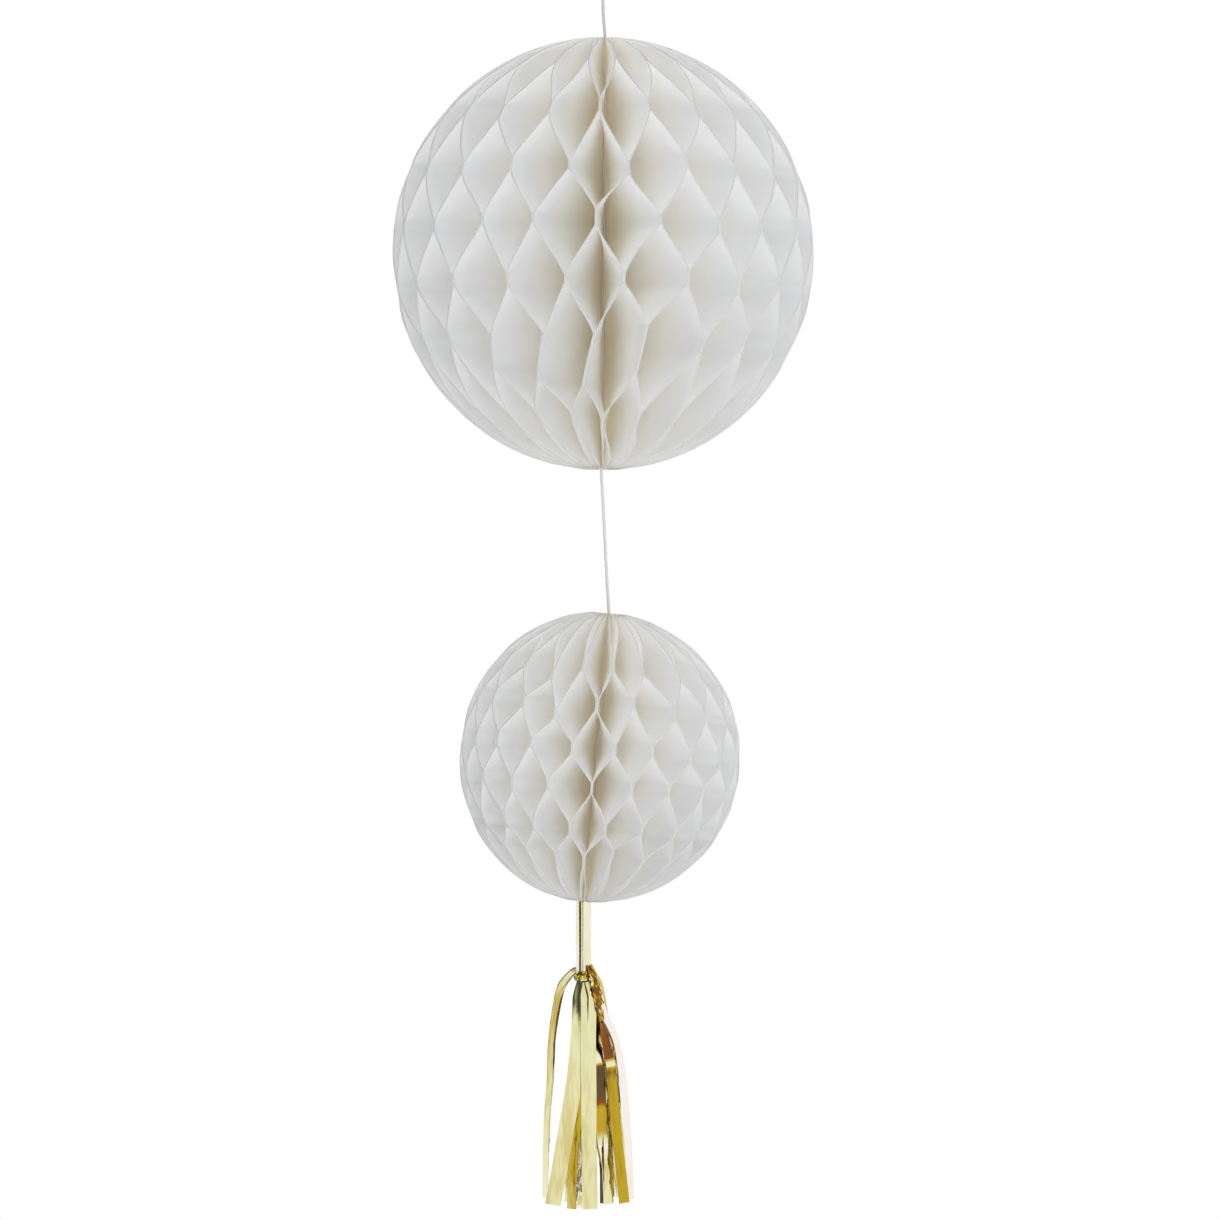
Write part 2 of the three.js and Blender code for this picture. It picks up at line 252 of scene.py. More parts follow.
def tube(
    bm: BMesh, path: list[Vector], sides: int, radius: Callable[[float, int], float]
) -> None:
    """Roll a grid into a closed tube, and mark how deep each vertex lies below its ridges.

    Args:
        bm: The mesh that the tube goes into.
        path: Points of the tube's centreline.
        sides: Number of faces round the tube.
        radius: Gives the radius for an angle round the tube and a number along the path.
    """
    valley = bm.verts.layers.float.new("valley")
    axes = carried_axes(path)
    widest = max(radius(2 * math.pi * k / RIDGE_TRIES, 0) for k in range(RIDGE_TRIES))
    for vert, (column, row) in new_grid(bm, sides, len(path) - 1).items():
        angle = 2 * math.pi * (column % sides) / sides
        _, side, across = axes[row]
        spoke = side * math.cos(angle) + across * math.sin(angle)
        reach = radius(angle, row)
        vert.co = path[row] + spoke * reach
        # How deep the vertex lies below the ridges, which the cord's finish darkens as painted
        # shade
        vert[valley] = min(1.0, VALLEY_CONTRAST * (1 - reach / widest))
    bmesh.ops.remove_doubles(bm, verts=bm.verts[:], dist=WELD_DISTANCE)
    close_ends(bm)


def close_ends(bm: BMesh) -> None:
    """Close the open ends of a mesh and point its faces outwards.

    Args:
        bm: The mesh.
    """
    open_edges = [edge for edge in bm.edges if edge.is_boundary]
    bmesh.ops.holes_fill(bm, edges=open_edges, sides=0)
    bmesh.ops.recalc_face_normals(bm, faces=bm.faces[:])


def placed(name: str, data: ID) -> Object:
    """Put a mesh, a lamp or a camera in the scene.

    Args:
        name: The new object's name.
        data: The mesh, lamp or camera.

    Returns:
        The new object.
    """
    made = bpy.data.objects.new(name, data)
    bpy.context.scene.collection.objects.link(made)
    return made


def finished_piece(name: str, bm: BMesh, material: Material, slot: Slot) -> Object:
    """Turn a mesh into a smooth-shaded piece that rides on the object's body.

    Args:
        name: The piece's name.
        bm: Its mesh, which is freed.
        material: Its material.
        slot: The record's slot; not used.

    Returns:
        The new object, at the origin, with its place in its mesh.
    """
    mesh = bpy.data.meshes.new(name)
    bm.to_mesh(mesh)
    bm.free()
    mesh.shade_smooth()
    mesh.materials.append(material)
    piece = placed(name, mesh)
    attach(piece, BODY)
    log.info("%s: %d faces before its modifiers", name, len(mesh.polygons))
    return piece


# ---- Node groups that several finishes share ----


class NodeBoard:
    """Places nodes in one tree and joins them."""

    def __init__(self, tree: NodeTree) -> None:
        """Start on a tree, emptied of its nodes."""
        self.tree = tree
        tree.nodes.clear()

    def add(
        self,
        kind: str,
        inputs: dict[str | int, Any] | None = None,
        settings: dict[str, Any] | None = None,
    ) -> Node:
        """Add a node.

        Args:
            kind: The node's type.
            inputs: Socket names or numbers, each with a value or the socket that feeds it.
            settings: Other properties of the node.

        Returns:
            The new node.
        """
        node = self.tree.nodes.new(kind)
        for name, value in (settings or {}).items():
            setattr(node, name, value)
        for key, value in (inputs or {}).items():
            if isinstance(value, NodeSocket):
                self.tree.links.new(value, node.inputs[key])
            else:
                node.inputs[key].default_value = value
        return node

    def math(self, operation: str, *values: Any) -> NodeSocket:
        """Work out one number from others, and return its socket."""
        node = self.add("ShaderNodeMath", dict(enumerate(values)), {"operation": operation})
        return node.outputs[0]

    def remap(self, value: Any, low: float, high: float, new_low: float, new_high: float) -> Any:
        """Map a number from one range to another, held inside it.

        Args:
            value: The number's socket.
            low: Start of its range.
            high: End of its range.
            new_low: What the start becomes.
            new_high: What the end becomes.

        Returns:
            The new number's socket.
        """
        node = self.add(
            "ShaderNodeMapRange",
            {0: value, 1: low, 2: high, 3: new_low, 4: new_high},
            {"interpolation_type": "SMOOTHSTEP"},
        )
        return node.outputs[0]

    def blend(self, share: Any, first: Any, second: Any, mode: str = "MIX") -> Any:
        """Blend two colours, each given as a value or a socket.

        Args:
            share: How much of the second colour shows.
            first: The first colour.
            second: The second colour.
            mode: How they blend.

        Returns:
            The blended colour's socket.
        """
        node = self.add(
            "ShaderNodeMix",
            {0: share, 6: first, 7: second},
            {"data_type": "RGBA", "blend_type": mode},
        )
        return node.outputs[2]

    def group(self, tree: NodeTree, inputs: dict[str, Any]) -> Node:
        """Add a node group with its own values."""
        return self.add("ShaderNodeGroup", inputs, {"node_tree": tree})

    def noise(self, place: Any, scale: Any, detail: float = 1.0, roughness: float = 0.5) -> Any:
        """Add a noise texture, and return its socket."""
        inputs = {"Vector": place, "Scale": scale, "Detail": detail, "Roughness": roughness}
        return self.add("ShaderNodeTexNoise", inputs).outputs[0]

    def attribute(self, name: str) -> NodeSocket:
        """Read a number that the mesh's points carry, and return its socket."""
        return self.add("ShaderNodeAttribute", None, {"attribute_name": name}).outputs["Fac"]

    def bump(self, height: Any, strength: float, distance: float, normal: Any = None) -> Any:
        """Bump a surface, over another normal if one is given.

        Args:
            height: The height's socket.
            strength: How strongly it shows.
            distance: Height of the bumps in metres.
            normal: A normal that they lie on.

        Returns:
            The new normal's socket.
        """
        inputs = {"Height": height, "Strength": strength, "Distance": distance}
        if normal is not None:
            inputs["Normal"] = normal
        return self.add("ShaderNodeBump", inputs).outputs[0]

    def surface(self, colour: Any, roughness: Any, normal: Any, **more: float) -> Any:
        """Add a surface shader from values or sockets.

        Args:
            colour: Its colour.
            roughness: Its roughness.
            normal: Its normal.
            more: Other values, with _ for each space in a socket's name.

        Returns:
            The shader's socket.
        """
        inputs = {"Base Color": colour, "Roughness": roughness, "Normal": normal}
        inputs.update((name.replace("_", " "), value) for name, value in more.items())
        return self.add("ShaderNodeBsdfPrincipled", inputs).outputs[0]

    def show(self, shader: NodeSocket) -> None:
        """Make a shader the material's surface."""
        self.add("ShaderNodeOutputMaterial", {"Surface": shader})

    def mix_shaders(self, share: Any, first: Any, second: Any) -> NodeSocket:
        """Mix two shaders, and return the result's socket."""
        return self.add("ShaderNodeMixShader", {0: share, 1: first, 2: second}).outputs[0]


def new_material(name: str) -> tuple[Material, NodeBoard, NodeSocket]:
    """Start a material.

    Args:
        name: The material's name.

    Returns:
        The material, the board for its nodes, and the socket of a place on the object.
    """
    made = bpy.data.materials.new(name)
    made.use_nodes = True
    board = NodeBoard(made.node_tree)
    return made, board, board.add("ShaderNodeTexCoord").outputs["Object"]


class SharedGroups:
    """The shader node groups that several finishes use, each built once."""

    def __init__(self) -> None:
        """Build every group."""
        self.fibre = self._fibre()
        self.creases = self._creases()

    @staticmethod
    def _new(
        name: str, inputs: dict[str, float], outputs: list[str]
    ) -> tuple[NodeBoard, Node, Node]:
        """Start a group with a Vector input, named number inputs and number outputs.

        Args:
            name: The group's name.
            inputs: Its number inputs with their values.
            outputs: The names of its number outputs.

        Returns:
            The group's board, its input node and its output node.
        """
        tree = bpy.data.node_groups.new(name, "ShaderNodeTree")
        tree.interface.new_socket("Vector", in_out="INPUT", socket_type="NodeSocketVector")
        for key, value in inputs.items():
            socket = tree.interface.new_socket(key, in_out="INPUT", socket_type="NodeSocketFloat")
            socket.default_value = value
        for key in outputs:
            tree.interface.new_socket(key, in_out="OUTPUT", socket_type="NodeSocketFloat")
        board = NodeBoard(tree)
        return board, board.add("NodeGroupInput"), board.add("NodeGroupOutput")

    def _fibre(self) -> NodeTree:
        """Pressed plant fibre: cloudy formation, and short fibres that lie in it.

        Returns:
            The group.
        """
        board, given, result = self._new(
            "pressed_fibre", {"Scale": 900.0, "Clouds": 60.0}, ["Tone", "Height"]
        )
        place = given.outputs["Vector"]
        clouds = board.noise(place, given.outputs["Clouds"], roughness=0.6)
        fibres = board.noise(place, given.outputs["Scale"], detail=0.0)
        tone = board.math(
            "ADD", board.math("MULTIPLY", clouds, 0.6), board.math("MULTIPLY", fibres, 0.4)
        )
        board.tree.links.new(tone, result.inputs["Tone"])
        board.tree.links.new(fibres, result.inputs["Height"])
        return board.tree

    def _creases(self) -> NodeTree:
        """Soft ripples, with a sharper fold along their middle height.

        Returns:
            The group.
        """
        board, given, result = self._new("creases", {"Scale": 60.0, "Sharpness": 0.5}, ["Height"])
        bent = board.noise(given.outputs["Vector"], given.outputs["Scale"])
        ridge = board.math("ABSOLUTE", board.math("SUBTRACT", bent, 0.5))
        folded = board.math("MULTIPLY", ridge, given.outputs["Sharpness"])
        board.tree.links.new(board.math("ADD", bent, folded), result.inputs["Height"])
        return board.tree


# ---- Finishes ----

# Between these the fibre group's tone varies most
FIBRE_TONES = (0.3, 0.7)


@dataclass(frozen=True)
class TissueFinish:
    """Thin ivory tissue that lets light through, with painted light in its colour by reach: a
    warmer tint near the spine is painted warm shade of the cells' depths, a greyer band on each
    leaf's outer part is painted cool shade, and a lighter cream cut edge is a painted highlight.
    """

    # deep is painted warm shade near the spine, wall the paper's own ivory, rim painted cool shade
    # over the outer part of each leaf, and edge a painted highlight along the cut edge
    deep: Colour = (0.998, 0.977, 0.922, 1)
    wall: Colour = (0.985, 0.981, 0.965, 1)
    rim: Colour = (0.925, 0.93, 0.94, 1)
    edge: Colour = (0.995, 0.985, 0.955, 1)
    roughness: float = 0.85
    light_through: float = 0.82
    edge_light_through: float = 0.45
    spine_light_through: float = 0.2
    spine_reach: Range = (0.0, 0.03)
    wall_reach: Range = (0.0, 0.5)
    rim_reach: Range = (0.6, 0.97)
    edge_reach: Range = (0.997, 1.0)
    mottle: Range = (0.982, 1.0)

    def material(self, groups: SharedGroups) -> Material:
        """Build the material, which reads the leaves' reach and tone attributes.

        Args:
            groups: The shared node groups.

        Returns:
            The material.
        """
        made, board, place = new_material("ivory_tissue")
        reach, tone = board.attribute("reach"), board.attribute("tone")
        fibre = board.group(groups.fibre, {"Vector": place, "Scale": 700.0, "Clouds": 45.0})
        creases = board.group(groups.creases, {"Vector": place, "Scale": 55.0, "Sharpness": 0.4})

        # Painted light by reach: warm shade towards the spine, cool shade over the outer part, and
        # a highlight at the cut edge
        colour = board.blend(board.remap(reach, *self.wall_reach, 0, 1), self.deep, self.wall)
        colour = board.blend(board.remap(reach, *self.rim_reach, 0, 1), colour, self.rim)
        colour = board.blend(board.remap(reach, *self.edge_reach, 0, 1), colour, self.edge)
        mottle = board.remap(fibre.outputs["Tone"], *FIBRE_TONES, *self.mottle)
        shade = board.math("MULTIPLY", mottle, tone)
        grey = board.add("ShaderNodeCombineColor", {0: shade, 1: shade, 2: shade}).outputs[0]
        colour = board.blend(1.0, colour, grey, "MULTIPLY")

        creased = board.bump(creases.outputs["Height"], 0.35, 1.2 * MM)
        normal = board.bump(fibre.outputs["Height"], 0.25, 0.12 * MM, creased)
        paper = board.surface(colour, self.roughness, normal, Specular_IOR_Level=0.2)
        glow = board.add("ShaderNodeBsdfTranslucent", {"Color": colour, "Normal": normal})
        thin = board.remap(
            reach, *self.spine_reach, self.spine_light_through, self.light_through
        )
        through = board.remap(reach, *self.edge_reach, thin, self.edge_light_through)
        both = board.mix_shaders(through, paper, glow.outputs[0])

        # A leaf has two faces, and only the one that light meets first may scatter it
        inside = board.add("ShaderNodeNewGeometry").outputs["Backfacing"]
        clear = board.add("ShaderNodeBsdfTransparent")
        board.show(board.mix_shaders(inside, both, clear.outputs[0]))
        return made


@dataclass(frozen=True)
class CardFinish:
    """Smooth white board with a faint warm tint and a fibrous surface."""

    light: Colour = (0.90, 0.885, 0.85, 1)
    dark: Colour = (0.83, 0.81, 0.765, 1)
    roughness: Range = (0.62, 0.78)

    def material(self, groups: SharedGroups) -> Material:
        """Build the material.

        Args:
            groups: The shared node groups.

        Returns:
            The material.
        """
        made, board, place = new_material("white_board")
        fibre = board.group(groups.fibre, {"Vector": place, "Scale": 1400.0, "Clouds": 90.0})
        tone = board.remap(fibre.outputs["Tone"], *FIBRE_TONES, 0, 1)
        colour = board.blend(tone, self.dark, self.light)
        roughness = board.remap(tone, 0, 1, *self.roughness)
        normal = board.bump(fibre.outputs["Height"], 0.3, 0.1 * MM)
        board.show(board.surface(colour, roughness, normal))
        return made


@dataclass(frozen=True)
class CordFinish:
    """Spun white cotton: fine yarns along the strands, and painted shade that darkens the valleys
    between them.
    """

    light: Colour = (0.97, 0.97, 0.97, 1)
    # dark is the painted shade colour of the valleys, which the fibre fuzz also mixes in a little
    dark: Colour = (0.88, 0.88, 0.885, 1)
    valley_share: float = 0.7

    def material(self, groups: SharedGroups) -> Material:
        """Build the material, which reads the cord's valley attribute.

        Args:
            groups: The shared node groups.

        Returns:
            The material.
        """
        made, board, place = new_material("spun_cotton")
        valley = board.attribute("valley")
        fibre = board.group(groups.fibre, {"Vector": place, "Scale": 4200.0, "Clouds": 700.0})
        fuzz = board.remap(fibre.outputs["Tone"], *FIBRE_TONES, 0, 1 - self.valley_share)
        # Painted shade deep in the valleys between the strands, plus fibre fuzz at random
        painted_light_and_tone = board.math("ADD", board.math("MULTIPLY", valley, self.valley_share), fuzz)
        colour = board.blend(painted_light_and_tone, self.light, self.dark)
        normal = board.bump(fibre.outputs["Height"], 0.6, 0.25 * MM)
        yarn = board.surface(colour, 0.9, normal, Specular_IOR_Level=0.25, Sheen_Weight=0.25)
        board.show(yarn)
        return made


@dataclass(frozen=True)
class FoilFinish:
    """Gold metallised film: a mirror with soft ripples and fine creases, whose colour also carries
    painted reflections: pinkish white bright ones, umber dark ones, and faint streaks along the
    film.
    """

    # The tint runs pinkish white, pale, gold, copper, umber; pinkish white also stands for painted
    # bright reflections, and umber for painted dark reflections of the surroundings
    pink: Colour = (0.94, 0.88, 0.86, 1)
    pale: Colour = (0.81, 0.795, 0.48, 1)
    gold: Colour = (0.53, 0.37, 0.025, 1)
    copper: Colour = (0.25, 0.08, 0.02, 1)
    umber: Colour = (0.10, 0.08, 0.04, 1)
    roughness: Range = (0.07, 0.16)
    stretch: Point = (1.0, 1.0, 0.16)
    # Streaks of painted reflection along the film, which shift its tint a little
    painted_streaks: float = 0.08

    def material(self, groups: SharedGroups) -> Material:
        """Build the material, which reads the tassel's depth attribute, the film's tint with
        painted reflections in it.

        Args:
            groups: The shared node groups.

        Returns:
            The material.
        """
        made, board, place = new_material("gold_film")
        stretched = board.add(
            "ShaderNodeMapping", {"Vector": place, "Scale": self.stretch}
        ).outputs[0]
        ripples = board.group(
            groups.creases, {"Vector": stretched, "Scale": 110.0, "Sharpness": 0.3}
        )
        creases = board.group(groups.creases, {"Vector": place, "Scale": 260.0, "Sharpness": 1.2})
        streaks = board.group(groups.fibre, {"Vector": stretched, "Scale": 500.0, "Clouds": 120.0})

        # Painted reflection streaks, stretched along the film, shift its tint
        painted_light_and_tone = board.remap(streaks.outputs["Tone"], 0.35, 0.65, -self.painted_streaks, self.painted_streaks)
        tinted = board.math("ADD", board.attribute("tint_and_painted_reflection"), painted_light_and_tone)
        tints = {0.0: self.pale, 0.5: self.gold, 1.0: self.copper, 1.6: self.umber}
        colour, low = self.pink, -0.5
        for high, tint in tints.items():
            colour = board.blend(board.remap(tinted, low, high, 0, 1), colour, tint)
            low = high
        rippled = board.bump(ripples.outputs["Height"], 0.3, 0.9 * MM)
        normal = board.bump(creases.outputs["Height"], 0.12, 0.3 * MM, rippled)
        roughness = board.remap(streaks.outputs["Tone"], *FIBRE_TONES, *self.roughness)
        board.show(board.surface(colour, roughness, normal, Metallic=1.0))
        return made


@dataclass
class Finishes:
    """Every material of the pom pom."""

    groups: SharedGroups = field(default_factory=SharedGroups)

    def __post_init__(self) -> None:
        """Build the four materials."""
        self.tissue = TissueFinish().material(self.groups)
        self.card = CardFinish().material(self.groups)
        self.cord = CordFinish().material(self.groups)
        self.foil = FoilFinish().material(self.groups)


# ---- Camera and cord ----


@dataclass
class PhotoCamera:
    """The level camera in front of the pom pom."""

    place: Point = (0.0057, -4.6, -0.4946)
    sensor: float = 36.0
    width_seen: float = 0.86925

    def make(self) -> None:
        """Make the camera and use it for the scene."""
        data = bpy.data.cameras.new("photo_camera")
        data.sensor_width = self.sensor
        data.lens = self.sensor * -self.place[1] / self.width_seen
        data.clip_end = 50
        camera = placed("photo_camera", data)
        camera.location = self.place
        camera.rotation_euler = (math.pi / 2, 0, 0)
        bpy.context.scene.camera = camera


@dataclass
class HangingCord:
    """One white three-strand cord, from the tassel up to the knot and round the loop.

    Attributes:
        route: Its course from inside the tassel's neck to the knot, in millimetres.
        loop: Its course round the loop, in millimetres.
        leaves_tassel_at: Where it comes out of the tassel's neck, in metres.
        twist_length: Length in which a strand goes once round.
        ridge: Radius at a strand's ridge, as a share of the cord's.
        valley_depth: Depth between two strands, as the same share.
    """

    route: list[Point] = field(default_factory=lambda: [
        (-13.3, 0, -741), (-13.3, 0, -716), (-13.3, 0, -701.2), (-12.3, 0, -690), (-4.28, 0, -600),
        (3.74, 0, -510), (4.8, 0, -498.1), (3.5, 0, -472), (0.9, 0, -420), (-0.5, 0, -393.5),
        (-0.4, 0, -382), (0.85, 0, -241), (2.1, 0, -100), (2.2, 0, -88.5), (1.0, 0, -70),
        (0.3, 0, -55.3),
    ])
    loop: list[Point] = field(default_factory=lambda: [
        (-1.4, 0, -45.7), (-4.2, 0.2, -38), (-8.6, 0.4, -26), (-10.6, 0, -14), (-7.4, -0.3, -3.6),
        (0, 0, 1.1), (7.2, 0.3, -3.4), (10.4, 0.2, -14), (8.4, -0.3, -26), (4.0, -0.2, -38),
        (1.4, 0, -45.7),
    ])
    leaves_tassel_at: Point = (-13.3 * MM, 0, -716 * MM)
    spacing: float = 0.75 * MM
    sides: int = 15
    strands: int = 3
    twist_length: float = 7.5 * MM
    ridge: float = 1.02
    valley_depth: float = 0.24

    def strand_radius(self, angle: float, row: int) -> float:
        """Radius of the twisted strands at an angle and a number along the path.

        Args:
            angle: Angle round the path.
            row: Number along the path.

        Returns:
            The radius.
        """
        turned = angle - 2 * math.pi * row * self.spacing / self.twist_length
        valley = (1 - abs(math.sin(self.strands * turned / 2))) ** 2
        return CORD_DIAMETER / 2 * (self.ridge - self.valley_depth * valley)

    def make(self, finish: Material, knot: Object) -> None:
        """Args:
            finish: The cord's material.
            knot: The knot that closes the loop; not used.
        """
        path = route_points([*self.route, *self.loop], self.spacing)
        length = line_length(path)
        bm = bmesh.new()
        tube(bm, path, self.sides, self.strand_radius)
        piece = finished_piece("twisted_cord", bm, finish, Slot.CORD)
        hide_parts("hanging_cord", "hanging_loop")
        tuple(self.leaves_tassel_at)
        [tuple(point) for point in path[::4]]
        tuple(path[-1])
        log.info("cord: %.3f m long", length)


@dataclass
class LoopKnot:
    """The overhand knot, drawn tight, that closes the hanging loop."""

    centre: Point = (0.3 * MM, 0, -50.5 * MM)
    wrap_radius: float = 2.45 * MM
    height: float = 9.0 * MM
    strand_diameter: float = 2.3 * MM
    wraps: float = 3.0
    waver: float = 0.06
    wavers_per_turn: int = 5
    steps: int = 150

    def path(self) -> list[Vector]:
        """The knot's strand: up round the cord in tight turns, and back down across them.

        Returns:
            Points of the strand's middle line.
        """
        reach = (self.height - self.strand_diameter) / 2
        points = []
        for step in range(self.steps + 1):
            share = step / self.steps
            turn = 2 * math.pi * self.wraps * share
            rise = reach * math.sin(2 * math.pi * (share - 0.25))
            waver = self.waver * math.sin(self.wavers_per_turn * turn)
            radius = self.wrap_radius * (1 + waver)
            points.append(Vector(self.centre) + outward(turn) * radius + UP * rise)
        return points

    def make(self, finish: Material) -> Object:
        """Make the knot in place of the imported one.

        Args:
            finish: The cord's material.

        Returns:
            The knot.
        """
        cord = HangingCord()
        path = evenly_spaced(self.path(), cord.spacing)
        bm = bmesh.new()
        tube(bm, path, cord.sides, cord.strand_radius)
        piece = finished_piece("overhand_knot", bm, finish, Slot.CORD)
        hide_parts("loop_knot")
        return piece


# ---- Honeycomb balls ----


def tissue_marks(bm: BMesh) -> dict[str, Any]:
    """Add the vertex layers that the tissue's material reads."""
    return {name: bm.verts.layers.float.new(name) for name in ("reach", "tone")}


@dataclass(frozen=True)
class Hold:
    """What holds a leaf over a stretch of height: a row of glue, or the spine's end at a pole.

    Attributes:
        low: Height of its foot.
        high: Height of its top.
        place: Where it is round the axis, counted in leaves from the seam.
        offset: Thicknesses that the leaf lies beside that place.
        turn: Angle that its top sits off that place.
        low_turn: Angle that its foot sits off that place.
    """

    low: float
    high: float
    place: float
    offset: float
    turn: float
    low_turn: float


@dataclass(frozen=True)
class Nudge:
    """How a glued node sits off its even place.

    Attributes:
        turn: Degrees round the axis, towards the right.
        lift: Millimetres up.
        longer: Millimetres that the leaves cling together further down.
        lean: Degrees round the axis at the node's foot, where it is longer.
    """

    turn: float
    lift: float
    longer: float = 0
    lean: float = 0


@dataclass
class HoneycombBall:
    """A block of tissue leaves, glued in staggered rows and opened into a ball.

    Attributes:
        glue_height: Height of a row of glue in the flat block.
        top_free: Unglued height above the first row.
        top_row: Which leaves the first row joins.
        seam: Angle of the closure from the front.
        crowding: How much the leaves crowd to the front, growing from the top down.
        bulge: How much further the right side stands out than the left.
        node_height: Mean height of a glued node, in millimetres.
        row_lifts: Millimetres that each row sits above its even height.
        nudges: The nodes placed one by one, by row and place.
        reaches: A leaf's columns, as shares of the way from the spine to the rim.
        short_share: Share of the even gap between two nodes that counts as a short one.
        fluffed_from: Share of a leaf's reach at which its edge starts to thicken.
        fluffed_over: Share of its reach in which it does.
        rim_waves: How close the wavers of a cut edge are.
        leaf_waver: How far a loose leaf wavers sideways.
        leaf_waves: How close those wavers are.
        loose_turn: Spread in degrees of the nodes that aren't placed one by one.
        loose_lift: Their spread in millimetres of height.
        loose_height: A node's least and most half height, as shares of node_height.
        easing: Most that a leaf's way between two nodes is eased.
        bowing: Spread of its sideways bow, in leaves.
        unglued: The nodes without glue, by row and place.
    """

    name: str
    diameter: float
    height: float
    row_pitch: float
    glue_height: float
    top_free: float
    top_row: RowParity
    seam: float
    crowding: float
    bulge: float
    top_pole: Vector
    bottom_pole: Vector
    seed: int
    node_height: float
    row_lifts: tuple[float, ...]
    nudges: dict[tuple[int, int], Nudge]
    reaches: tuple[float, ...] = (0, 0.16, 0.32, 0.48, 0.62, 0.75, 0.86, 0.935, 0.975, 0.99, 1)
    free_steps: int = 8
    short_steps: int = 3
    short_share: float = 0.4
    clung_step: float = 5 * MM
    rim_thickness: float = 0.9 * MM
    fluffed_from: float = 0.965
    fluffed_over: float = 0.025
    rim_waver: float = 0.5 * MM
    rim_waves: float = 45
    leaf_waver: float = 1.1 * MM
    leaf_waves: float = 38
    loose_turn: float = 0.8
    loose_lift: float = 1.6
    loose_height: Range = (0.35, 0.65)
    easing: float = 0.35
    bowing: float = 0.035
    unglued: tuple[tuple[int, int], ...] = ()

    def __post_init__(self) -> None:
        """Work out the ball's pole and the nodes where glue holds its leaves."""
        self.pole = self.rim_height(POLE_RADIUS)
        self.chance = Random(self.seed)
        self.nodes = self.glue_nodes()
        along = (self.top_pole - self.bottom_pole).normalized()
        lean = math.atan2(along.x, along.z)
        centre = self.top_pole + along * (POLE_DIMPLE - self.pole)
        self.stand = Matrix.Translation(centre) @ Matrix.Rotation(lean, 4, "Y")

    def rim_height(self, radius: float) -> float:
        """Half height of the ball's outline at a distance from its axis."""
        return self.height / 2 * math.sqrt(1 - (radius / (self.diameter / 2)) ** 2)

    def rim_radius(self, z: float) -> float:
        """Radius of the ball's outline at a height."""
        return self.diameter / 2 * math.sqrt(max(0.0, 1 - (z / (self.height / 2)) ** 2))

    def angle(self, place: float, z: float) -> float:
        """Angle round the axis of a place, counted in leaves from the seam.

        Args:
            place: The place.
            z: Its height above the ball's middle.

        Returns:
            The angle from the front.
        """
        from_front = (place / LEAF_COUNT - 0.5) * 2 * math.pi
        crowding = self.crowding * (0.5 - z / self.height)
        return self.seam - math.pi + from_front - crowding * math.sin(from_front)

    def rows(self) -> Iterator[tuple[int, float, RowParity]]:
        """The rows of glue, from the top down.

        Yields:
            A row's number, the height of its middle, and its parity.
        """
        z, parity = self.pole - self.top_free - self.glue_height / 2, self.top_row
        for number, _ in enumerate(self.row_lifts):
            yield number, z, parity
            z, parity = z - self.row_pitch, parity.other()

    def glue_nodes(self) -> dict[tuple[int, int], Hold]:
        """Where each glued node sits, as hands and paper leave them.

        Returns:
            The nodes, by row and place.
        """
        nodes = {}
        for number, z, _ in self.rows():
            for place in range(LEAF_COUNT + 1):
                lift = self.row_lifts[number]
                loose = Nudge(
                    self.chance.gauss(0, self.loose_turn),
                    lift + self.chance.gauss(0, self.loose_lift),
                )
                half = self.node_height * MM * self.chance.uniform(*self.loose_height)
                if place in (0, LEAF_COUNT):
                    loose = Nudge(0, lift)
                nudge = self.nudges.get((number, place), loose)
                middle = z + nudge.lift * MM
                turn = math.radians(nudge.turn)
                foot_turn = math.radians(nudge.lean) if nudge.longer else turn
                nodes[number, place] = Hold(
                    middle - half - nudge.longer * MM, middle + half, place, 0, turn, foot_turn
                )
        return nodes

    def holds(self, leaf: int) -> list[Hold]:
        """Everything that holds a leaf, from the bottom pole to the top pole.

        Args:
            leaf: The leaf's number from the seam.

        Returns:
            The holds, from the bottom up.
        """
        found = [Hold(-self.pole, -self.pole, leaf + 0.5, 0, 0, 0)]
        for number, _, parity in self.rows():
            is_right_of_pair = leaf % 2 != parity.value
            place = leaf if is_right_of_pair else leaf + 1
            if (number, place) in self.unglued:
                continue
            offset = 0.5 if is_right_of_pair else -0.5
            found.insert(1, replace(self.nodes[number, place], offset=offset))
        found.append(Hold(self.pole, self.pole, leaf + 0.5, 0, 0, 0))
        return found

    def heights(self, holds: list[Hold]) -> list[tuple[float, float, float, float]]:
        """The heights at which a leaf is measured.

        Args:
            holds: What holds the leaf, from the bottom up.

        Returns:
            Height, place, offset in thicknesses and turn, from the bottom pole up.
        """
        levels = [(holds[0].low, holds[0].place, holds[0].offset, holds[0].turn)]
        for below, above in zip(holds, holds[1:]):
            even_gap = self.row_pitch - self.glue_height
            is_short = above.low - below.high < self.short_share * even_gap
            steps = self.short_steps if is_short else self.free_steps
            ease = self.chance.uniform(0, self.easing)
            bow = self.chance.gauss(0, self.bowing)
            for step in range(1, steps + 1):
                share = step / steps
                eased = mix(share, smooth(share), ease)
                bowed = bow * math.sin(math.pi * share)
                levels.append(
                    (
                        mix(below.high, above.low, share),
                        mix(below.place, above.place, eased) + bowed,
                        mix(below.offset, above.offset, eased),
                        mix(below.turn, above.low_turn, eased),
                    )
                )
            clung = above.high - above.low
            steps = max(2, round(clung / self.clung_step)) if clung else 0
            for step in range(1, steps + 1):
                share = step / steps
                z = mix(above.low, above.high, share)
                turn = mix(above.low_turn, above.turn, share)
                levels.append((z, above.place, above.offset, turn))
        return levels

    def thickness(self, reach: float) -> float:
        """Thickness of a leaf at a share of its reach: its cut edge is a little fluffed out."""
        fluffed = smooth((reach - self.fluffed_from) / self.fluffed_over)
        return mix(LEAF_THICKNESS, self.rim_thickness, fluffed)

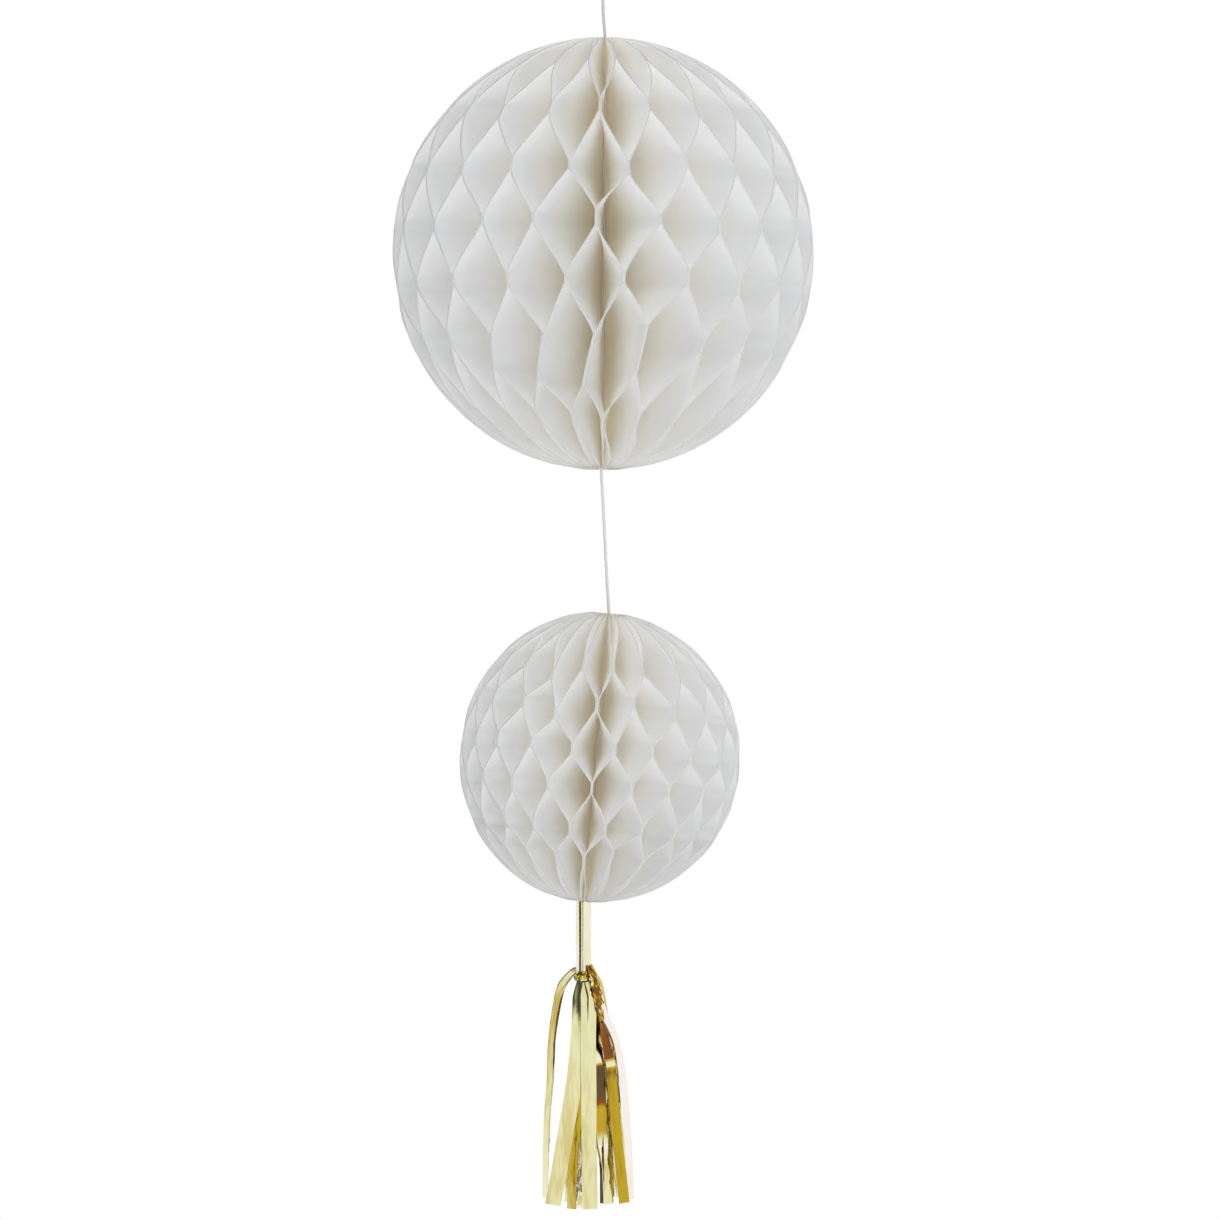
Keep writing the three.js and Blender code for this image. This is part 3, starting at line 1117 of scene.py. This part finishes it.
    def add_leaf(self, bm: BMesh, leaf: int, marks: dict[str, Any]) -> None:
        """Add one leaf to the ball's mesh, standing upright round the spine.

        Args:
            bm: The ball's mesh.
            leaf: The leaf's number from the seam.
            marks: Vertex layers for reach, tone and thickness.
        """
        levels = self.heights(self.holds(leaf))
        tone = self.chance.uniform(*LEAF_TONES)
        columns = len(self.reaches) - 1
        for vert, (column, row) in new_grid(bm, columns, len(levels) - 1).items():
            reach = self.reaches[column]
            z, place, offset, turn = levels[row]
            angle = self.angle(place, z) + turn * smooth(reach)
            rim = self.rim_radius(z)
            rim += self.bulge * math.sin(angle) * rim / (self.diameter / 2)
            wave = noise.noise(Vector((leaf * 7.3, z * self.rim_waves, self.seed)))
            rim += self.rim_waver * wave
            radius = mix(SPINE_RADIUS, max(rim, SPINE_RADIUS + LEAST_LEAF), reach)
            thickness = self.thickness(reach)
            side = offset * thickness
            if place < 0.5:
                side += CLOSURE_HALF_WIDTH * (1 - place * 2)
            if place > LEAF_COUNT - 0.5:
                side -= CLOSURE_HALF_WIDTH * (1 - (LEAF_COUNT - place) * 2)
            freedom = 1 - min(1.0, abs(offset) * 2)
            wave = noise.noise(
                Vector((leaf * 3.7 + self.seed, radius * self.leaf_waves, z * self.leaf_waves))
            )
            side += self.leaf_waver * wave * freedom * reach
            lowered = POLE_DIMPLE * (1 - reach) if abs(z) > self.pole - WELD_DISTANCE else 0
            vert.co = outward(angle) * radius + sideways(angle) * side
            vert.co.z = z - math.copysign(lowered, z)
            vert[marks["reach"]] = reach
            vert[marks["tone"]] = tone
            vert[marks["weight"]][0] = thickness / self.rim_thickness

    def make(self, finishes: Finishes) -> None:
        """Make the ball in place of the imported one, and dress its two cards.

        Args:
            finishes: The pom pom's materials.
        """
        bm = bmesh.new()
        marks = {**tissue_marks(bm), "weight": bm.verts.layers.deform.verify()}
        for leaf in range(LEAF_COUNT):
            self.add_leaf(bm, leaf, marks)
        bm.transform(self.stand)
        bmesh.ops.recalc_face_normals(bm, faces=bm.faces[:])
        piece = finished_piece(f"{self.name}_honeycomb", bm, finishes.tissue, Slot.TISSUE)
        piece.vertex_groups.new(name="thickness")
        wall = piece.modifiers.new("paper", "SOLIDIFY")
        wall.thickness = self.rim_thickness
        wall.offset = 0
        wall.vertex_group = "thickness"
        wall.use_even_offset = False
        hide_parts(f"{self.name}_ball")
        self.make_spine(finishes)
        for side in ("left", "right"):
            card = bpy.data.objects[f"{self.name}_ball_{side}_card"]
            card.data.materials.clear()
            card.data.materials.append(finishes.card)

    def make_spine(self, finishes: Finishes) -> None:
        """Make the sewn spine: a tube round the cord, with the leaves' roots in its outside.

        Args:
            finishes: The pom pom's materials.
        """
        bm = bmesh.new()
        marks = tissue_marks(bm)
        end = self.pole - POLE_DIMPLE
        sides, rows = 2 * LEAF_COUNT, 24
        bore = [(BORE_RADIUS, -end), (BORE_RADIUS, end)]
        wall = [(SPINE_RADIUS, mix(end, -end, row / rows)) for row in range(rows + 1)]
        ring = [*wall, *bore, wall[0]]
        for vert, (column, row) in new_grid(bm, sides, len(ring) - 1).items():
            radius, z = ring[row]
            vert.co = outward(2 * math.pi * (column % sides) / sides) * radius
            vert.co.z = z
            vert[marks["reach"]] = 0
            vert[marks["tone"]] = SPINE_TONE
        bm.transform(self.stand)
        bmesh.ops.remove_doubles(bm, verts=bm.verts[:], dist=WELD_DISTANCE)
        bmesh.ops.recalc_face_normals(bm, faces=bm.faces[:])
        finished_piece(f"{self.name}_spine", bm, finishes.tissue, Slot.TISSUE)


# ---- Foil tassel ----


@dataclass(frozen=True)
class Stop:
    """A place on a strip's middle line.

    Attributes:
        x: Millimetres right of the neck's axis.
        y: Millimetres behind the neck's axis.
        z: Millimetres above the neck's top.
        turn: Degrees that the strip's right edge is turned to the back.
        shade: Tint of the film, with painted reflections in it: -0.5 pinkish white, which also
            marks painted highlights, 0 pale, 0.5 gold, 1 copper, 1.6 umber, which marks painted
            dark reflections.
    """

    x: float
    y: float
    z: float
    turn: float
    shade: float


@dataclass(frozen=True)
class Strip:
    """One strip of film, hung through its stops from under the band to its cut tip.

    Attributes:
        stops: Where its middle line runs, from the top.
        width: Its width in millimetres.
        crinkle: How much it ripples and wavers.
        curl: How hollow it is across.
        crumpled_rows: How many of its rows from the top are crumpled hard.
    """

    stops: tuple[Stop, ...]
    width: float
    crinkle: float = 0.25
    curl: float = 0.2
    crumpled_rows: int = 0


def strip_through(stops: tuple[tuple[float, ...], ...], **manner: float) -> Strip:
    """Hang a strip through stops, each given as the numbers of a Stop."""
    return Strip(tuple(Stop(*stop) for stop in stops), **manner)


# How a strip of the back differs from the front one that it hangs like: where it starts behind
# the axis and how it spreads, how near the middle and how much higher it hangs, and its tints
BACK_START, BACK_SPREAD = 2.5, 0.7
BACK_CLOSER, BACK_HIGHER = 0.97, 3
BACK_TOP_SHADE, BACK_TIP_SHADE = 0.3, 0.1


def hung_behind(front: Strip, reach: float, turn: float, width: float) -> Strip:
    """A strip of the tassel's back, which hangs as a front one does and faces the other way.

    Args:
        front: The front strip.
        reach: How far its tip hangs behind the axis, in millimetres.
        turn: Degrees that it is turned from facing straight back.
        width: Its width in millimetres.

    Returns:
        The new strip.
    """
    top, tip = front.stops[0].z, front.stops[-1].z
    stops = []
    for stop in front.stops:
        down = (top - stop.z) / (top - tip)
        y = mix(BACK_START, reach, down**BACK_SPREAD)
        z = stop.z + BACK_HIGHER * down
        shade = mix(BACK_TOP_SHADE, BACK_TIP_SHADE, down)
        stops.append(Stop(stop.x * BACK_CLOSER, y, z, 180 + turn * down, shade))
    return Strip(tuple(stops), width)


def hung_strips() -> tuple[Strip, ...]:
    """The tassel's strips, from the left one round the front and then round the back.

    Returns:
        The nine strips in front, then the six behind.
    """
    # Each stop's last number is its tint: pinkish white patches in it are painted highlights, and
    # the darkest stretches are painted dark reflections
    narrow = strip_through((
        (-3.5, -2, -49.5, -30, 0.2), (-6.8, -2.2, -50.5, -35, 0.15),
        (-10.6, -2.4, -54.2, -40, 0.1), (-15.2, -3, -60, -50, 0.15), (-17.4, -3.4, -66, -50, 0.34),
        (-19.2, -4, -74, -50, 0.32), (-23, -5, -99.6, -48, 0.27), (-24.1, -5, -128, -46, 0.2),
        (-26.2, -5, -156.6, -48, 0.1), (-27, -5, -211.4, -46, -0.15),
    ), width=6)
    front_left = strip_through((
        (-2, -3, -53, -10, 0.1), (-1.9, -8, -71, -4, 0.15), (-3.3, -11, -99.6, 6, 0.05),
        (-7, -12.4, -133.1, 12, 0.1), (-11.1, -13, -156.6, 14, 0.14),
        (-18.4, -13.5, -199.3, 16, 0.19), (-21.6, -13.5, -215.7, 18, 0.19),
    ), width=11.6, crinkle=0.08)
    front_right = strip_through((
        (2, -3, -53, 5, 0.15), (3.7, -8.3, -71, 12, 0.05), (3.5, -10.5, -99.6, 14, 0.03),
        (3.9, -11, -133.1, 16, 0.08), (4.1, -12, -178, 20, 0.14), (4.8, -12, -218.9, 16, 0.16),
    ), width=11.3, crinkle=0.08)
    between_gold = strip_through((
        (-1, -1, -53, -20, 0.4), (-1, -3, -71, -30, 0.4), (-2.4, -5, -113.9, -40, 0.45),
        (-4.5, -6, -155.2, -46, 0.5), (-7.4, -6.5, -188.6, -50, 0.5),
        (-8.4, -7, -219.3, -48, 0.35),
    ), width=10)
    between_pink = strip_through((
        (0, 0, -53, 20, -0.3), (0, -1, -80, 24, -0.3), (-1.7, -2, -135.3, 28, -0.45),
        (-2.7, -2, -219.3, 30, -0.3),
    ), width=10)
    crumpled = strip_through((
        (4.2, -5.6, -46, 20, 0.9), (6.4, -7, -52, 30, 0.9), (9.4, -7, -63.9, 38, 0.85),
        (13.2, -6.5, -85.3, 54, 0.9), (16.4, -7, -102.4, 44, 1.1), (18.2, -7.6, -111, 36, 1.2),
        (19.4, -8, -116, 32, -0.5), (19.9, -8, -120, 28, 0.9), (20.4, -8, -128, 24, 0.62),
        (23.6, -8, -163.7, 24, 0.62), (26.8, -8, -192.2, 26, 0.6), (29.2, -8, -215, 26, 0.45),
    ), width=8, crinkle=0.5, crumpled_rows=17)
    inner_right = strip_through((
        (2.8, -2.6, -53, 10, 0.5), (5.4, -4.6, -71, 36, 0.8), (8.2, -6, -99.6, 46, 0.6),
        (10.4, -6.6, -114, 18, -0.4), (11.1, -6.8, -119, 8, 1.5), (12, -7.3, -140, 8, 1.4),
        (12.4, -7.5, -148, 20, 0.5), (13.2, -8, -163, 26, 0.5), (14.4, -8.2, -175, 28, -0.3),
        (16.6, -8.5, -188.6, 32, 0.3), (18, -8.5, -215.7, 34, -0.1),
    ), width=8.5, crinkle=0.4)
    # A narrow strip tinted towards umber, a painted dark reflection that draws a dark line beside
    # the inner right strip
    dark_reflection_strip = strip_through((
        (2, -1.5, -53, 0, 0.6), (5, -3.5, -80, 0, 0.8), (9.8, -5, -125, 0, 1),
        (12.6, -7, -165, 0, 1.2), (13.3, -10, -185, 0, 1.6), (13.4, -10.4, -215, 0, 1.6),
    ), width=3)
    outer_pink = strip_through((
        (3.4, -0.8, -53, 30, -0.2), (9.2, -1.5, -60.4, 44, -0.4), (14, -2, -78.2, 46, -0.45),
        (23.3, -2, -99.6, 48, -0.45), (28.3, -2, -128.1, 42, -0.45), (32.2, -2, -178, 44, -0.4),
        (33.4, -2, -212.9, 44, -0.4),
    ), width=7)
    front = (narrow, front_left, front_right, between_gold, between_pink)
    right = (crumpled, inner_right, dark_reflection_strip, outer_pink)
    back = (
        hung_behind(crumpled, 13, 30, 11),
        hung_behind(inner_right, 20, -25, 11),
        hung_behind(front_right, 12, 10, 11),
        hung_behind(between_gold, 22, 20, 11),
        hung_behind(front_left, 14, -15, 11),
        hung_behind(narrow, 6, 75, 6),
    )
    return (*front, *right, *back)


@dataclass
class FoilTassel:
    """One sheet of gold film, rolled into a neck, banded, and cut into hanging strips.

    Attributes:
        wrap_azimuth: Angle from the front at which the rolled edges show.
        strip_row: Distance between a strip's rows, in millimetres.
        sway: Degrees that a wholly crinkled strip turns to and fro.
        ripple: Millimetres that it ripples.
        crumple: Millimetres of the folds where a strip is crumpled.
        crumple_painted_reflections: How much they change the tint, as painted glints and dark
            reflections.
        root_width: Width of a strip under the band.
        opening: Length in which a strip unfolds to its width.
        band_bottom: Height of the band's foot from the neck's top.
        band_puff: Millimetres that the band's middle stands out.
        band_crumple: Millimetres of the folds in it.
    """

    top: Vector
    neck_radius: float = 5.75 * MM
    neck_length: float = 56 * MM
    neck_turns: float = 1.7
    neck_grid: tuple[int, int] = (54, 30)
    neck_waver: float = 0.12 * MM
    neck_shade: float = -0.2
    wrap_step: float = 0.5 * MM
    wrap_azimuth: float = math.radians(-26)
    film: float = 0.16 * MM
    strip_row: float = 2.6
    strip_columns: int = 6
    sway: float = 30
    ripple: float = 1.5
    crumple: float = 3.4
    crumple_painted_reflections: float = 2.2
    root_width: float = 4.5 * MM
    opening: float = 18 * MM
    band_bottom: float = -57.3 * MM
    band_height: float = 7.1 * MM
    band_turns: float = 1.6
    band_grid: tuple[int, int] = (110, 12)
    band_gap: float = 0.35 * MM
    band_step: float = 0.22 * MM
    band_puff: float = 0.5
    band_crumple: float = 0.9
    strips: tuple[Strip, ...] = field(default_factory=hung_strips)
    seed: int = 11

    def add_strip(self, bm: BMesh, number: int, tint_and_painted_reflection: Any) -> None:
        """Add one crinkled, turning strip.

        Args:
            bm: The tassel's mesh.
            number: The strip's number.
            tint_and_painted_reflection: Vertex layer for the film's tint, with painted reflections
                in it.
        """
        strip = self.strips[number]
        route = [(stop.x, stop.y, stop.z) for stop in strip.stops]
        line = route_points(route, self.strip_row * MM)
        columns, rows = self.strip_columns, len(line) - 1
        stop = 0
        along, turns, shades = [], [], []
        for k, point in enumerate(line):
            while stop < len(strip.stops) - 2 and point.z < strip.stops[stop + 1].z * MM:
                stop += 1
            above, below = strip.stops[stop], strip.stops[stop + 1]
            share = (above.z * MM - point.z) / ((above.z - below.z) * MM)
            turns.append(mix(above.turn, below.turn, smooth(share)))
            shades.append(mix(above.shade, below.shade, min(1.0, max(0.0, share))))
            along.append((line[min(k + 1, rows)] - line[max(k - 1, 0)]).normalized())
        for vert, (column, row) in new_grid(bm, columns, rows).items():
            wobble = noise.noise(Vector((number * 5.1, row * 0.09, self.seed)))
            across = sideways(math.radians(turns[row] + self.sway * strip.crinkle * wobble))
            across = (across - along[row] * across.dot(along[row])).normalized()
            face = across.cross(along[row])
            opened = smooth(row * self.strip_row * MM / self.opening)
            width = mix(self.root_width, strip.width * MM, opened)
            side = column / columns - 0.5
            lift = strip.curl * width * (0.25 - side * side) * math.sin(row * 0.055 + number)
            ripple = noise.noise(Vector((side * 2 + number * 9, row * 0.42, self.seed)))
            lift += strip.crinkle * self.ripple * MM * ripple * opened
            if row < strip.crumpled_rows:
                fold = noise.noise(Vector((side * 6, row * 1.7, number)))
                lift += self.crumple * MM * fold
            vert.co = line[row] + across * side * width + face * lift
            vert[tint_and_painted_reflection] = shades[row]
            # Painted glints and dark reflections scattered over the crumpled rows
            if row < strip.crumpled_rows:
                tint = noise.noise(Vector((side * 7, row * 1.9, number + 40)))
                vert[tint_and_painted_reflection] += self.crumple_painted_reflections * tint

    def add_neck(self, bm: BMesh, tint_and_painted_reflection: Any) -> None:
        """Add the rolled neck, with the film's edge showing in front.

        Args:
            bm: The tassel's mesh.
            tint_and_painted_reflection: Vertex layer for the film's tint, with painted reflections
                in it.
        """
        columns, rows = self.neck_grid
        for vert, (column, row) in new_grid(bm, columns, rows).items():
            rolled = self.neck_turns * column / columns
            from_edge = self.neck_turns - rolled
            radius = self.neck_radius - self.wrap_step * from_edge
            z = -self.neck_length * row / rows
            radius += self.neck_waver * noise.noise(Vector((rolled * 3, z * 60, self.seed)))
            angle = self.wrap_azimuth + 2 * math.pi * rolled
            vert.co = outward(angle) * radius
            vert.co.z = z
            vert[tint_and_painted_reflection] = self.neck_shade

    def add_band(self, bm: BMesh, tint_and_painted_reflection: Any) -> None:
        """Add the crumpled band, wound round the foot of the neck.

        Args:
            bm: The band's mesh.
            tint_and_painted_reflection: Vertex layer for the film's tint, with painted reflections
                in it.
        """
        columns, rows = self.band_grid
        for vert, (column, row) in new_grid(bm, columns, rows).items():
            rolled = self.band_turns * column / columns
            rise = row / rows
            puff = math.sin(math.pi * rise)
            fold = noise.noise(Vector((rolled * 17, rise * 4, self.seed)))
            radius = self.neck_radius + self.band_gap + self.band_step * rolled
            radius += (self.band_puff + self.band_crumple * fold) * puff * MM
            angle = self.wrap_azimuth + 2 * math.pi * rolled
            vert.co = outward(angle) * radius
            vert.co.z = self.band_bottom + self.band_height * (rise + 0.08 * fold)
            # Tint that follows the band's folds: painted glints and dark reflections
            vert[tint_and_painted_reflection] = 0.25 + 0.9 * fold

    def add_sheet(self, bm: BMesh, tint_and_painted_reflection: Any) -> None:
        """Add the neck and every strip.

        Args:
            bm: The tassel's mesh.
            tint_and_painted_reflection: Vertex layer for the film's tint, with painted reflections
                in it.
        """
        self.add_neck(bm, tint_and_painted_reflection)
        for number in range(len(self.strips)):
            self.add_strip(bm, number, tint_and_painted_reflection)

    def make(self, finish: Material) -> None:
        """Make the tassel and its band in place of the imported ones.

        Args:
            finish: The foil's material.
        """
        for name, node, build in (
            ("foil_tassel", "tassel", self.add_sheet),
            ("foil_band", "tassel_band", self.add_band),
        ):
            bm = bmesh.new()
            build(bm, bm.verts.layers.float.new("tint_and_painted_reflection"))
            bm.transform(Matrix.Translation(self.top))
            bmesh.ops.recalc_face_normals(bm, faces=bm.faces[:])
            piece = finished_piece(name, bm, finish, Slot.FOIL)
            film = piece.modifiers.new("film", "SOLIDIFY")
            film.thickness = self.film
            film.offset = 0
            piece.modifiers.new("flat_faces", "WEIGHTED_NORMAL")
            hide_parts(node)


# ---- Studio ----


@dataclass
class Studio:
    """White surroundings, four soft lamps, and a plain pale floor far below.

    Attributes:
        floor_fade: Distances from the origin between which the floor fades to white.
        tent_level: Strength of the light that comes level from the surroundings.
        tent_slope: How that light grows towards each axis.
        room: The way to the dark room behind the camera, which only mirrors show.
        room_edge: How straight a ray points there at the room's soft edge.
        flag: The way to the dark flag on the left, which only mirrors show.
        flag_across: The way across the flag.
        flag_edge: How far a ray points across it at its soft edge.
        flag_ends: How straight a ray points to it where it fades in.
        lamps: Name, place, size in metres and power in watts of each lamp.
    """

    floor_z: float = -1.55
    floor_radius: float = 1.15
    floor_fade: Range = (1.6, 1.92)
    floor_colour: Colour = (0.95, 0.95, 0.945, 1)
    tent_level: float = 0.445
    tent_slope: Point = (0.12, 0.02, -0.15)
    room: Point = (-0.2, -0.933, 0.3)
    room_edge: Range = (0.90, 0.975)
    room_light: float = 0.08
    flag: Point = (-0.788, -0.616, 0)
    flag_across: Point = (0.616, -0.788, 0)
    flag_edge: Range = (0.22, 0.34)
    flag_ends: Range = (0.2, 0.5)
    flag_depth: float = 0.96
    lamps_aim: Point = (0, 0, -0.5)
    lamps: tuple[tuple[str, Point, float, float], ...] = (
        ("right_softbox", (1.6, -1.4, 0.0), 1.4, 3.0),
        ("top_softbox", (0.2, -0.3, 1.4), 0.9, 0.6),
        ("low_softbox", (0.6, -1.5, -1.3), 1.0, 6.0),
        ("front_softbox", (0.2, -4.2, -0.3), 1.6, 28.0),
    )

    def make(self) -> None:
        """Make the world, the lamps and the floor."""
        self.make_world()
        self.make_lamps()
        self.make_floor()

    def make_world(self) -> None:
        """White to the camera, a soft tent of light, and what mirrors show."""
        world = bpy.data.worlds.new("white_tent")
        world.use_nodes = True
        bpy.context.scene.world = world
        board = NodeBoard(world.node_tree)
        way = board.add("ShaderNodeTexCoord").outputs["Generated"]
        path = board.add("ShaderNodeLightPath")

        def towards(direction: Point) -> Any:
            """How straight a ray points in a direction."""
            inputs, settings = {0: way, 1: direction}, {"operation": "DOT_PRODUCT"}
            return board.add("ShaderNodeVectorMath", inputs, settings).outputs["Value"]

        def background(colour: Colour, strength: Any) -> Any:
            """Surroundings of one colour."""
            inputs = {"Color": colour, "Strength": strength}
            return board.add("ShaderNodeBackground", inputs).outputs[0]

        level = board.math("ADD", towards(self.tent_slope), self.tent_level)
        tent = background((0.995, 0.997, 1.0, 1), level)
        room = board.remap(towards(self.room), *self.room_edge, 1.0, self.room_light)
        across = board.math("ABSOLUTE", towards(self.flag_across))
        flag = board.math(
            "MULTIPLY",
            board.remap(across, *self.flag_edge, 1.0, 0.0),
            board.remap(towards(self.flag), *self.flag_ends, 0.0, self.flag_depth),
        )
        reflected = board.math("MULTIPLY", room, board.math("SUBTRACT", 1.0, flag))
        mirrored = background((1.0, 0.985, 0.96, 1), reflected)
        lit = board.mix_shaders(path.outputs["Is Glossy Ray"], tent, mirrored)
        seen = board.math(
            "MAXIMUM", path.outputs["Is Camera Ray"], path.outputs["Is Transmission Ray"]
        )
        shown = board.mix_shaders(seen, lit, background(WHITE, 1.0))
        board.add("ShaderNodeOutputWorld", {"Surface": shown})

    def make_lamps(self) -> None:
        """Large soft lamps, on the right, above, below and in front."""
        for name, place, size, power in self.lamps:
            data = bpy.data.lights.new(name, "AREA")
            data.size = size
            data.energy = power
            lamp = placed(name, data)
            aim = Vector(self.lamps_aim) - Vector(place)
            lamp.visible_glossy = False
            lamp.location = place
            lamp.rotation_euler = aim.to_track_quat("-Z", "Y").to_euler()

    def make_floor(self) -> None:
        """A pale round floor that fades into the white background at its rim."""
        material, board, place = new_material("pale_floor")
        length = board.add("ShaderNodeVectorMath", {0: place}, {"operation": "LENGTH"})
        fade = board.remap(length.outputs["Value"], *self.floor_fade, 0.8, 1.0)
        matt = board.add(
            "ShaderNodeBsdfPrincipled", {"Base Color": self.floor_colour, "Roughness": 0.9}
        )
        white = board.add("ShaderNodeEmission", {"Color": WHITE, "Strength": 1.0})
        to_camera = board.add("ShaderNodeLightPath").outputs["Is Camera Ray"]
        seen = board.math("MULTIPLY", fade, to_camera)
        both = board.mix_shaders(seen, matt.outputs[0], white.outputs[0])
        board.show(both)
        bm = bmesh.new()
        bmesh.ops.create_circle(bm, cap_ends=True, radius=self.floor_radius, segments=96)
        bmesh.ops.translate(bm, verts=bm.verts[:], vec=(0, 0, self.floor_z))
        mesh = bpy.data.meshes.new("studio_floor")
        bm.to_mesh(mesh)
        bm.free()
        mesh.materials.append(material)
        placed("studio_floor", mesh)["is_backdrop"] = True


# ---- The whole pom pom ----


def nudge_table(rows: dict[int, dict[int, tuple[float, ...]]]) -> dict[tuple[int, int], Nudge]:
    """Turn rows of glue, each with its nodes' numbers, into nudges by row and place.

    Args:
        rows: For each row of glue, its nodes' places with the numbers of their nudges.

    Returns:
        The nudges, by row and place.
    """
    return {
        (row, place): Nudge(*numbers)
        for row, nodes in rows.items()
        for place, numbers in nodes.items()
    }


def make_balls(finishes: Finishes) -> None:
    """Make the large ball and the small ball.

    Args:
        finishes: The pom pom's materials.
    """
    large = HoneycombBall(
        name="large",
        diameter=300 * MM,
        height=308 * MM,
        row_pitch=41 * MM,
        glue_height=10.5 * MM,
        top_free=4.75 * MM,
        top_row=RowParity.ODD,
        seam=math.radians(186.2),
        crowding=0.14,
        bulge=0,
        top_pole=Vector((2.2, 0, -88.5)) * MM,
        bottom_pole=Vector((-0.5, 0, -393.5)) * MM,
        seed=3,
        node_height=8,
        row_lifts=(-6.5, -5.6, -6.3, -3.9, -3.9, -4.6, -17),
        nudges=nudge_table({
            0: {16: (3.8, -9.0), 18: (2.8, -5.7), 20: (-0.2, -4.7), 22: (-1.3, -7.7)},
            1: {
                15: (0.5, -8.9), 17: (1.3, -6.3), 19: (1.0, -3.8), 21: (0.9, -4.0),
                23: (0.8, -7.3),
            },
            2: {16: (0.9, -5.8), 18: (1.2, -7.1), 20: (1.0, -9.3), 22: (1.1, -3.1)},
            3: {
                15: (2.0, -3.4), 17: (0.1, -3.1), 19: (0.3, -1.5, 2, 0.3), 21: (0.9, -3.9),
                23: (1.3, -7.6),
            },
            4: {16: (0.5, -4.6), 18: (0.3, -4.1), 20: (-0.4, -4.0), 22: (0.9, -2.7)},
            5: {
                15: (0.5, -5.0, 15, -3.0), 17: (1.0, -5.1, 21, -3.9), 19: (-0.3, -5.8, 25.5, -4.7),
                21: (-1.4, 0.5, 24, -3.0), 23: (1.0, -8.1),
            },
            6: {
                16: (-2.0, -16.0), 18: (-2.8, -15.9), 20: (-6.1, -20.5), 22: (-6.0, -18.5),
                24: (-4.5, -17.0),
            },
        }),
    )
    small = HoneycombBall(
        name="small",
        diameter=200 * MM,
        height=207 * MM,
        row_pitch=28.2 * MM,
        glue_height=7.4 * MM,
        top_free=8 * MM,
        top_row=RowParity.EVEN,
        seam=math.radians(186.8),
        crowding=0.1,
        bulge=2.8 * MM,
        top_pole=Vector((4.8, 0, -498.1)) * MM,
        bottom_pole=Vector((-13.3, 0, -701.2)) * MM,
        seed=8,
        node_height=7.6,
        row_lifts=(3, 2.0, 2.0, 2.0, 3.1, 2.0, 7.5),
        unglued=((0, 17), (0, 19), (0, 21), (0, 23)),
        nudges=nudge_table({
            1: {16: (2.8, -5.8), 18: (-0.1, 3.1), 20: (-1.7, 4.0), 22: (-4.3, 2.2)},
            2: {17: (0, -5.1), 19: (0.1, 3.1), 21: (-1.1, 7.1)},
            3: {18: (0.4, 0.7), 20: (0.6, 2.0), 22: (-1.1, 3.5)},
            4: {17: (-0.5, 2.2), 19: (1.0, 1.9), 21: (0.5, 3.5), 23: (-0.4, 5.0)},
            5: {18: (0.7, 1.0), 20: (0.3, 1.7), 22: (0.2, 3.2)},
            6: {17: (0.5, 7.4), 19: (-0.4, 5.6), 21: (-2.1, 11.9)},
        }),
    )
    for ball in (large, small):
        ball.make(finishes)


def main() -> None:
    """Build the pom pom's looks in order, and work out how far they reach."""
    logging.basicConfig(level=logging.INFO, format="%(name)s: %(message)s")
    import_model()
    packed_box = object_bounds()
    scene = bpy.context.scene
    scene.view_settings.view_transform = "Standard"
    scene.cycles.max_bounces = 36
    scene.cycles.diffuse_bounces = 18
    scene.cycles.transmission_bounces = 36
    scene.cycles.transparent_max_bounces = 28
    PhotoCamera().make()
    finishes = Finishes()
    knot = LoopKnot().make(finishes.cord)
    HangingCord().make(finishes.cord, knot)
    make_balls(finishes)
    FoilTassel(top=Vector((-13.3, 0, -701.4)) * MM).make(finishes.foil)
    Studio().make()
    shown_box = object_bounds()
    boxes = {"cad": packed_box, "visual": shown_box}
    {key: [list(corner) for corner in box] for key, box in boxes.items()}


if __name__ == "__main__":
    main()
